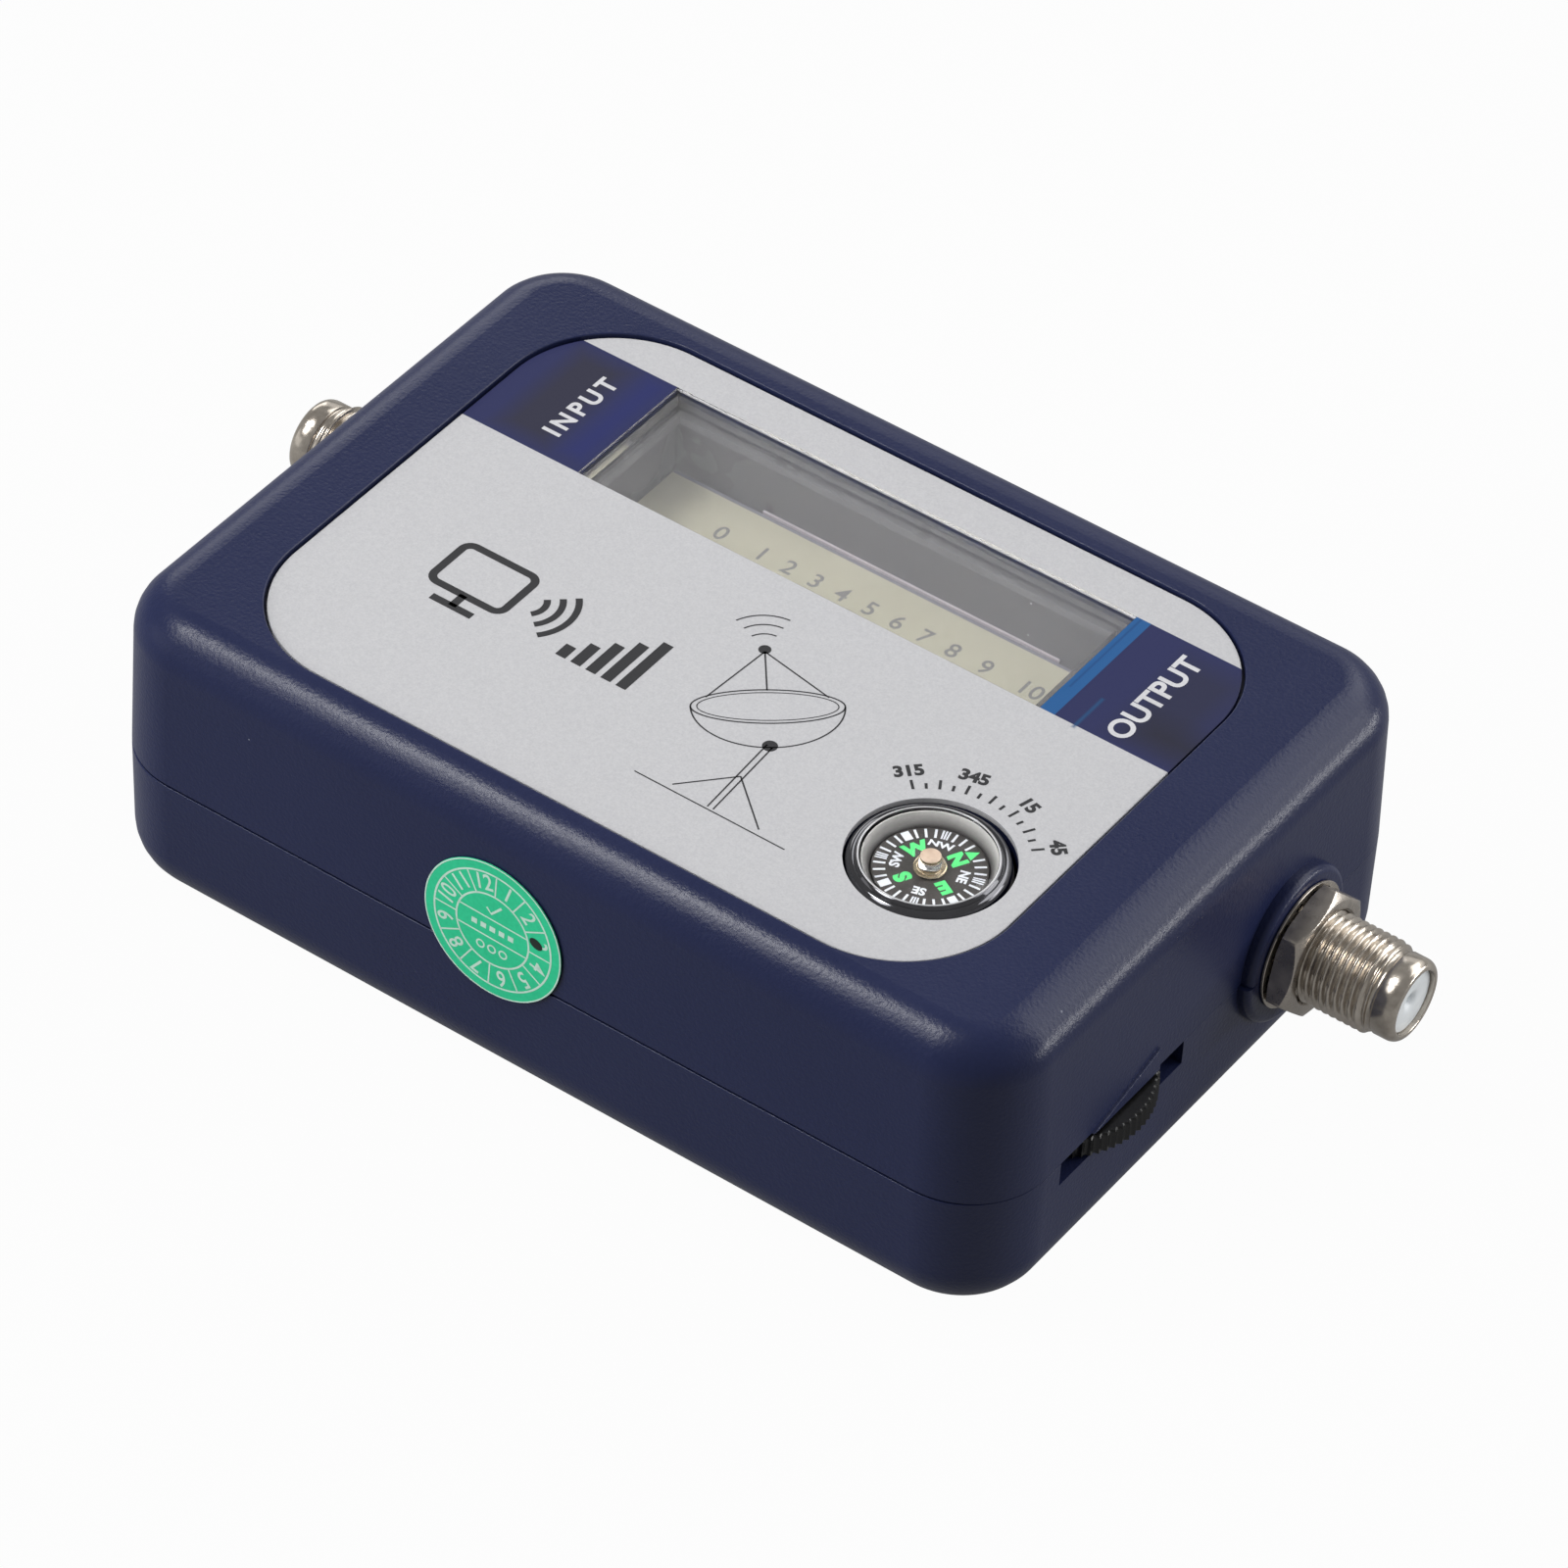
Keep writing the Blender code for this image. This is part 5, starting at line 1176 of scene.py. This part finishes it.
def whiteInsulator():
    skin = Surface("whiteInsulator", 0.38, IOR=1.45, Subsurface_Weight=0.15, Subsurface_Scale=0.6 * mm)
    skin.shader.inputs["Subsurface Radius"].default_value = (1.0, 1.0, 1.0)
    return skin.grain(1500.0, 260.0, 0.002 * mm, srgb(226, 231, 234), srgb(238, 242, 244), 0.04).done()


# Radii on a (height, angle) grid: a wave along height minus angle over a turn makes the helix.
def threadRows(start, end):
    rows = int((end - start) / plug["pitch"] * plug["turnRows"])
    heights = np.linspace(start, end, rows)
    angles = fullTurn(plug["steps"])
    phase = heights[:, None] / plug["pitch"] - angles[None, :] / (2 * np.pi)
    wave = np.clip((np.abs(phase % 1 - 0.5) * 2 - plug["rootFlat"]) / plug["flanks"], 0, 1)
    fade = np.clip((end - heights) / plug["runOut"], 0, 1)[:, None]
    last = plug["lastTurn"]
    radii = plug["root"] + (plug["crest"] - plug["root"]) * wave * (last + (1 - last) * fade)
    chamfer = plug["crest"] - np.clip(plug["chamfer"] - (end - heights), 0, None)[:, None]
    return heights, np.minimum(radii, chamfer)


# Plain rings for the tail, flange, groove and nose, with the thread's grid between them.
def connectorMesh(name, box, side):
    near, tip = sorted(abs(box[i][0]) for i in (0, 1))
    face, shoulder = near + plug["flangeFace"], near + plug["tailLength"]
    threadEnd = tip - plug["thread"]
    grooveEnd = threadEnd + plug["grooveWidth"]
    heights, radii = threadRows(plug["threadStart"], threadEnd)
    nose, rounding, groove = plug["nose"], plug["noseRound"], plug["groove"]
    before = [(plug["bore"], near), (plug["tail"], near), (plug["tail"], shoulder),
              (plug["flange"], shoulder), (plug["flange"], face), (plug["root"], face)]
    after = [*pointsFrom(groove, threadEnd, [(0.06, 0.04), (0, 0.12)]),
             *pointsFrom(groove, grooveEnd, [(0, -0.12), (0.05, -0.04)]),
             *pointsFrom(nose, grooveEnd, [(-0.06, 0), (0, 0.08)])]
    for share in np.linspace(0, 1, 9):
        angle = share * math.pi / 2
        after.append((nose - rounding * 0.72 * (1 - math.cos(angle)),
                      tip - rounding + rounding * math.sin(angle)))
    after += pointsFrom(plug["bore"], tip, [(0.10, -0.01), (0, -0.08)])
    after.append(before[0])
    angles = fullTurn(plug["steps"])
    rows = [roundZ(r, z, angles) for r, z in before]
    rows += list(roundZ(radii, heights[:, None], angles))
    rows += [roundZ(r, z, angles) for r, z in after]
    mesh = tidyMesh(gridMesh(name, np.stack(rows)), turnOut=False)
    return moved(mesh, (0, plug["y"], plug["z"]), side=side)


# A hexagon's radius, flats / 2 / cos(angle within its side), cut down by a cone at both faces.
def hexMesh(name, side):
    half = hexNut["flats"] / 2
    start, end = hexNut["start"], hexNut["end"]
    angles = fullTurn(360)
    around = (angles + np.pi / 6) % (np.pi / 3) - np.pi / 6
    hexagon = half / np.cos(around)
    depths = np.array(hexNut["depths"]) * mm
    heights = np.concatenate([start + depths, (end - depths)[::-1]])
    lift, soft = hexNut["frontLift"], hexNut["softening"]
    gap = np.where(heights < (start + end) / 2, lift + (heights - start) * 2, end - heights)
    cone = half - hexNut["coneInset"] + gap / math.tan(math.radians(hexNut["cone"]))
    outer = np.minimum(hexagon[None, :], cone[:, None]) - soft * np.exp(-gap / soft)[:, None]
    bore = np.full((1, len(angles)), hexNut["bore"])
    radii = np.vstack([bore, outer, bore + 0.25 * mm, bore, bore])
    levels = np.concatenate([[start], heights, [end, end - 0.25 * mm, start]])
    mesh = tidyMesh(gridMesh(name, roundZ(radii, levels[:, None], angles)), turnOut=False)
    return moved(mesh, (0, plug["y"], plug["z"]), hexNut["turn"], side)


# A flat ring whose bore is notched by a steep wave; the teeth between the notches are twisted up.
def washerMesh(name, side):
    columns = lockWasher["teeth"] * 20
    angles = fullTurn(columns)
    tooth = 1 / (1 + np.exp(-(np.cos(angles * lockWasher["teeth"]) + 0.1) * 9))
    inner = lockWasher["outer"] - lockWasher["band"] - lockWasher["tooth"] * tooth
    twist = lockWasher["twist"] * tooth * (1 + np.sin(angles * lockWasher["teeth"]))
    low, high = lockWasher["start"], lockWasher["start"] + lockWasher["thick"]
    rim, edge = lockWasher["outer"], lockWasher["edge"]
    rows = [(inner, low + twist), (rim - 0.45 * mm, low), (rim - edge, low), (rim, low + edge),
            (rim, high - edge), (rim - edge, high), (rim - 0.45 * mm, high),
            (inner, high + twist), (inner, low + twist)]
    points = np.stack([roundZ(radius, height, angles) for radius, height in rows])
    mesh = tidyMesh(gridMesh(name, points), turnOut=False)
    return moved(mesh, (0, plug["y"], plug["z"]), side=side)


def insulatorMesh(name, box, side):
    near, tip = sorted(abs(box[i][0]) for i in (0, 1))
    tip -= plug["recess"]
    radius = plug["insulator"]
    profile = [(0, near), (radius, near), *pointsFrom(radius, tip, [(0, -0.12), (-0.05, -0.04), (-0.14, 0)]),
               *pointsFrom(0, tip, plug["hollow"])]
    return moved(turnedMesh(name, profile, 96), (0, plug["y"], plug["z"]), side=side)


def makeConnectors():
    nickel, satin, white = nickelPlate(), nutPlate(), whiteInsulator()
    for word, side in (("right", 1), ("left", -1)):
        ending = word.capitalize()
        body = connectorMesh("threadedBarrel" + ending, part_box("connector_body_" + word), side)
        addPiece("threadedBarrel" + ending, body, nickel,
                 standsFor=["connector_body_" + word], sharp=48)
        addPiece("hexNut" + ending, hexMesh("hexNut", side), satin,
                 standsFor=["connector_nut_" + word], sharp=25)
        addPiece("lockWasher" + ending, washerMesh("lockWasher", side), nickel,
                 standsFor=["connector_washer_" + word], sharp=35)
        core = insulatorMesh("insulator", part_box("connector_insulator_" + word), side)
        addPiece("insulator" + ending, core, white,
                 standsFor=["connector_insulator_" + word], sharp=40)
    print("connectors made")


makeConnectors()


# Thumbwheel
wheel = {
    "x": 44.2 * mm, "y": -14.0 * mm, "radius": 9.8 * mm, "low": 12.75 * mm, "high": 15.05 * mm,
    "teeth": 72, "depth": 0.3 * mm, "well": 4.5 * mm, "wellDepth": 0.6 * mm, "bore": 1.1 * mm,
    "edge": 0.16 * mm, "rim": 0.9 * mm, "run": 0.6 * mm, "dish": 0.02 * mm,
}


# Rim radius = radius - depth * (half of 1 - cos of teeth * angle) to the 0.6, over a turned disc.
def wheelMesh():
    columns = wheel["teeth"] * 8
    angles = fullTurn(columns)
    groove = ((1 - np.cos(angles * wheel["teeth"])) / 2) ** 0.6 * wheel["depth"]
    low, high, radius, bore, well = (wheel[key] for key in ("low", "high", "radius", "bore", "well"))
    edge, rim = wheel["edge"], radius - wheel["rim"]
    face, bottom = high - wheel["dish"], high - wheel["wellDepth"]
    # radius, height and the share of the grooves' depth
    rows = [(bore, low, 0), (rim, low, 0), (radius - edge, low, 1), (radius, low + edge, 1),
            (radius, high - edge, 1), (radius - edge, high, 1), (radius - wheel["run"], high, 0.1),
            (rim, face, 0), (well + 0.1 * mm, face, 0), (well, high - 0.1 * mm, 0),
            (well, bottom + 0.06 * mm, 0), (well - 0.06 * mm, bottom, 0), (bore, bottom, 0), (bore, low, 0)]
    points = np.stack([roundZ(r - share * groove, z, angles) for r, z, share in rows])
    mesh = tidyMesh(gridMesh("knurledWheel", points), turnOut=False)
    return moved(mesh, (wheel["x"], wheel["y"], 0))


def blackPlastic(name, rough, dark=17, light=28):
    skin = Surface(name, rough, IOR=1.46, Specular_IOR_Level=0.5)
    colours = srgb(dark, dark, dark), srgb(light, light, light + 1)
    return skin.grain(2200.0, 160.0, 0.004 * mm, *colours, 0.06).done()


# Sticker
sticker = {
    "radius": 7.9 * mm, "thick": 0.125 * mm, "lean": math.radians(1.5),
    "outerRing": 6.74 * mm, "innerRing": 4.18 * mm, "line": 0.17 * mm,
    "rimInset": 0.09 * mm, "rimLine": 0.15 * mm, "ink": 0.012 * mm,
    "number": 1.78 * mm, "numberRadius": 5.46 * mm, "numberBold": 0.03 * mm, "numberWidth": 0.84,
    "chords": (1.28 * mm, -1.05 * mm), "chordRise": 0.14 * mm,
    "tick": [(-0.75, 2.55), (-0.2, 1.95), (0.95, 3.25)],        # millimetres
    "turn": 2.0,        # degrees that the printed dial stands askew
}
pen = {"x": 5.0 * mm, "y": 1.2 * mm, "radius": 0.62 * mm, "stretch": (1.25, 0.92), "tilt": -24, "steps": 32}


# Stands a flat mesh up on the front wall, leaning back with it.
def onSticker(mesh):
    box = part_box("inspection_sticker")
    middle = ((box[0][0] + box[1][0]) / 2, (box[0][1] + box[1][1]) / 2, (box[0][2] + box[1][2]) / 2)
    mesh.transform(Matrix.Rotation(math.pi / 2 - sticker["lean"], 4, "X"))
    mesh.transform(Matrix.Translation(middle))
    return mesh


def makeSticker():
    thick, radius = sticker["thick"], sticker["radius"]
    body = turnedMesh("roundSticker", [
        (0, -thick / 2), (radius - 0.02 * mm, -thick / 2), (radius, -thick / 2 + 0.02 * mm),
        (radius, thick / 2 - 0.04 * mm), (radius - 0.04 * mm, thick / 2), (0, thick / 2)], 160)
    green = Surface("stickerGreen", 0.34, IOR=1.46, Specular_IOR_Level=0.3)
    green.grain(2400.0, 150.0, 0.0016 * mm, srgb(44, 196, 142), srgb(54, 212, 156), 0.05)
    addPiece("roundSticker", onSticker(body), green.done(),
             standsFor=["inspection_sticker"])
    level = thick / 2 + sticker["ink"]
    line, turn = sticker["line"], math.radians(-sticker["turn"])
    inner, outer = sticker["innerRing"], sticker["outerRing"]
    shapes = [circle(0, 0, radius - sticker["rimInset"], sticker["rimLine"], 160),
              circle(0, 0, outer, line * 1.2, 144), circle(0, 0, inner, line * 1.2, 120)]
    for i in range(12):
        angle = math.radians(90 - 30 * i) + turn
        shapes.append(ribbon([polar(0, 0, inner, angle), polar(0, 0, outer, angle)], line))
    rise = sticker["chordRise"]
    for offset in sticker["chords"]:
        reach = math.sqrt(inner ** 2 - offset ** 2)
        shapes.append(ribbon([(-reach, offset + rise), (reach, offset - rise)], line))
    for i in range(5):        # a row of dashes, a tick mark and three rings fill the middle
        dash = pointsFrom((i - 2) * 1.05 * mm, 0, [(-0.32, 0.12), (0.32, 0.10)])
        shapes.append(ribbon(dash, 0.62 * mm))
    shapes.append(ribbon(pointsFrom(0, 0, sticker["tick"]), 0.26 * mm))
    for i in range(3):
        shapes.append(circle((i - 1) * 1.3 * mm, -2.35 * mm, 0.42 * mm, 0.18 * mm, 24))
    meshes = [flatMesh("dialLines", shapes, level)]
    for i in range(12):
        angle = math.radians(75 - 30 * i) + turn
        place = (*polar(0, 0, sticker["numberRadius"], angle), level)
        meshes.append(textMesh("month", str(i + 1), sticker["number"], place, angle - math.pi / 2,
                               sticker["numberBold"], squeeze=sticker["numberWidth"]))
    addPiece("stickerPrint", onSticker(joinMeshes("stickerPrint", meshes)),
             inkSurface("paleInk", srgb(206, 240, 224), 0.36))
    steps = pen["steps"]
    spot = arc(0, 0, pen["radius"], 0, 360, steps + 1)[:-1] * np.array(pen["stretch"])
    spot = turnFlat(spot, math.radians(pen["tilt"]), pen["x"], pen["y"])
    fan = np.stack([np.full(steps, steps), np.arange(steps), (np.arange(steps) + 1) % steps], -1)
    mark = flatMesh("penMark", [(np.vstack([spot, spot.mean(0)]), fan)], level + sticker["ink"])
    addPiece("penMark", onSticker(mark), inkSurface("markerInk", srgb(14, 30, 24), 0.3))


addPiece("knurledWheel", wheelMesh(), blackPlastic("wheelPlastic", 0.36, 13, 22), "wheel",
         ["thumbwheel"], sharp=30)
makeSticker()
print("thumbwheel and sticker made")


# Meter behind the window
meter = {
    "plate": 23.2 * mm, "plateEdge": 23.42 * mm, "wall": 24.15 * mm,
    "figure": 1.92 * mm, "figureY": 18.95 * mm, "tickEnd": 17.4 * mm, "tickLine": 16.2 * mm,
    "tickWidth": 0.16 * mm, "tickShort": 0.35 * mm, "ink": 0.02 * mm, "bold": 0.035 * mm,
    "figureX": [-18.2, -13.3, -10.1, -6.9, -3.8, -0.5, 2.7, 5.9, 9.2, 13.0, 18.2],        # in millimetres
    "ledge": (-16.75 * mm, 18.1 * mm), "ledgeWidth": 0.26 * mm, "ledgeTop": 23.5 * mm,
}


def creamPaint():
    skin = Surface("creamPaint", 0.62, Specular_IOR_Level=0.2)
    skin.grain(900.0, 60.0, 0.001 * mm, srgb(188, 184, 160), srgb(198, 194, 170))
    edge = srgb(128, 128, 138)
    return skin.printed(edge, -60 * mm, 60 * mm, meter["plateEdge"], 30 * mm).done()


def trayPlastic():
    skin = Surface("trayPlastic", 0.28, Specular_IOR_Level=0.3)
    skin.grain(160.0, 24.0, 0.0, srgb(90, 90, 95), srgb(104, 104, 109), 0.06)
    return skin.dust(srgb(190, 190, 194), 420.0, 0.05, 0.05).done()


def makeScale():
    level, places = meter["plate"] + meter["ink"], meter["figureX"]
    figures = [textMesh(f"figure{i}", str(i), meter["figure"], (x * mm, meter["figureY"], level),
                        bold=meter["bold"]) for i, x in enumerate(places)]
    shapes = []
    halves = [(a + b) / 2 for a, b in zip(places, places[1:])]
    for x in places + halves:
        start = meter["tickEnd"] if x in places else meter["tickEnd"] - meter["tickShort"]
        shapes.append(ribbon([(x * mm, start), (x * mm, meter["tickLine"])], meter["tickWidth"]))
    ends = [(places[0] * mm, meter["tickLine"]), (places[-1] * mm, meter["tickLine"])]
    shapes.append(ribbon(ends, meter["tickWidth"]))
    ticks = flatMesh("scaleTicks", shapes, level)
    addPiece("scaleFigures", joinMeshes("scaleFigures", figures + [ticks]),
             inkSurface("scaleInk", srgb(132, 132, 128)), sharp=None)
    low, high = meter["ledge"]
    back = meter["wall"] - 0.02 * mm
    ledge = boxMesh("scaleLedge", (low, back - meter["ledgeWidth"], meter["plate"]),
                    (high, back, meter["ledgeTop"]))
    # painted highlight: the ledge's pale colour stands for the bright line of light at the foot of the rear
    # wall
    pale = Surface("ledgePaintedHighlight", 0.2).grain(900.0, 60.0, 0.0, srgb(186, 178, 184), srgb(204, 196, 200))
    addPiece("scaleLedge", ledge, pale.done())


# Materials of the pieces that keep the shape of the CAD
def metal(name, rough, dark, light, depth=0.001 * mm):
    return Surface(name, rough, 1.0).grain(1400.0, 160.0, depth, srgb(*dark), srgb(*light), 0.05).done()


# Enamelled wire: turns lie one above the other, with a bump for each.
def windingCopper():
    skin = Surface("windingCopper", 0.3, 1.0)
    skin.grain(1200.0, 300.0, 0.0, srgb(140, 66, 34), srgb(176, 92, 52))
    place = newNode(skin.tree, "ShaderNodeTexCoord").outputs["Object"]
    turns = newNode(skin.tree, "ShaderNodeTexWave", {"Scale": 900.0, "Vector": place})
    turns.bands_direction = "Z"
    bump = newNode(skin.tree, "ShaderNodeBump", {"Distance": 0.06 * mm, "Height": turns.outputs["Fac"]})
    skin.tree.links.new(bump.outputs["Normal"], skin.shader.inputs["Normal"])
    return skin.done()


# Green solder mask over faint copper, with tinned spots.
def boardMask():
    skin = Surface("boardMask", 0.32)
    skin.grain(240.0, 60.0, 0.004 * mm, srgb(18, 66, 40), srgb(26, 88, 52), 0.04)
    return skin.dust(srgb(188, 188, 184), 330.0, 0.16, 0.16).done()


def capacitorSleeve():
    skin = Surface("capacitorSleeve", 0.36)
    skin.grain(700.0, 120.0, 0.0, srgb(24, 26, 34), srgb(34, 36, 46))
    return skin.printed(srgb(196, 198, 200), -42 * mm, -40.2 * mm, -30 * mm, 0.0).done()


def finishNodes():
    steel = metal("zincSteel", 0.3, (150, 150, 152), (184, 184, 186))
    iron = metal("sinteredIron", 0.46, (84, 84, 88), (112, 112, 116), 0.004 * mm)
    brass = metal("turnedBrass", 0.26, (176, 140, 74), (208, 170, 98))
    bronze = metal("springBronze", 0.3, (172, 110, 66), (200, 138, 88))
    black = blackPlastic("mouldedBlack", 0.5)
    lampGlass = clearPlastic("lampGlass", (0.98, 0.97, 0.94), 0.02, 0.2)
    finishes = [
        (trayPlastic(), ["meter_tray"]),
        (clearPlastic("coverPlastic", (0.94, 0.94, 0.95), 0.03, 0.045, 1.12), ["meter_cover"]),
        (creamPaint(), ["scale_plate"]),
        (iron, ["meter_magnet", "meter_yoke", "compass_magnet"]),
        (windingCopper(), ["moving_coil", "choke_coil"]),
        (blackPlastic("needleLacquer", 0.35), ["meter_needle"]),
        (bronze, ["hairspring"]),
        (brass, ["bearing_bridge", "meter_terminal_left", "meter_terminal_right",
                 "connector_contact_left", "connector_contact_right"]),
        (steel, ["case_screw_1", "case_screw_2", "case_screw_3", "case_screw_4", "bearing_screw",
                 "compass_pivot", "board_screw_left", "board_screw_right", "wheel_screw"]),
        (boardMask(), ["circuit_board"]),
        (black, ["amplifier_chip", "potentiometer_body"]),
        (capacitorSleeve(), ["capacitor_front", "capacitor_rear"]),
        (lampGlass, ["lamp_left", "lamp_right"]),
    ]
    for material, names in finishes:
        for name in names:
            nodes[name].data.materials.clear()
            nodes[name].data.materials.append(material)


makeScale()
finishNodes()
print("meter and inner pieces done")


print("scene built")
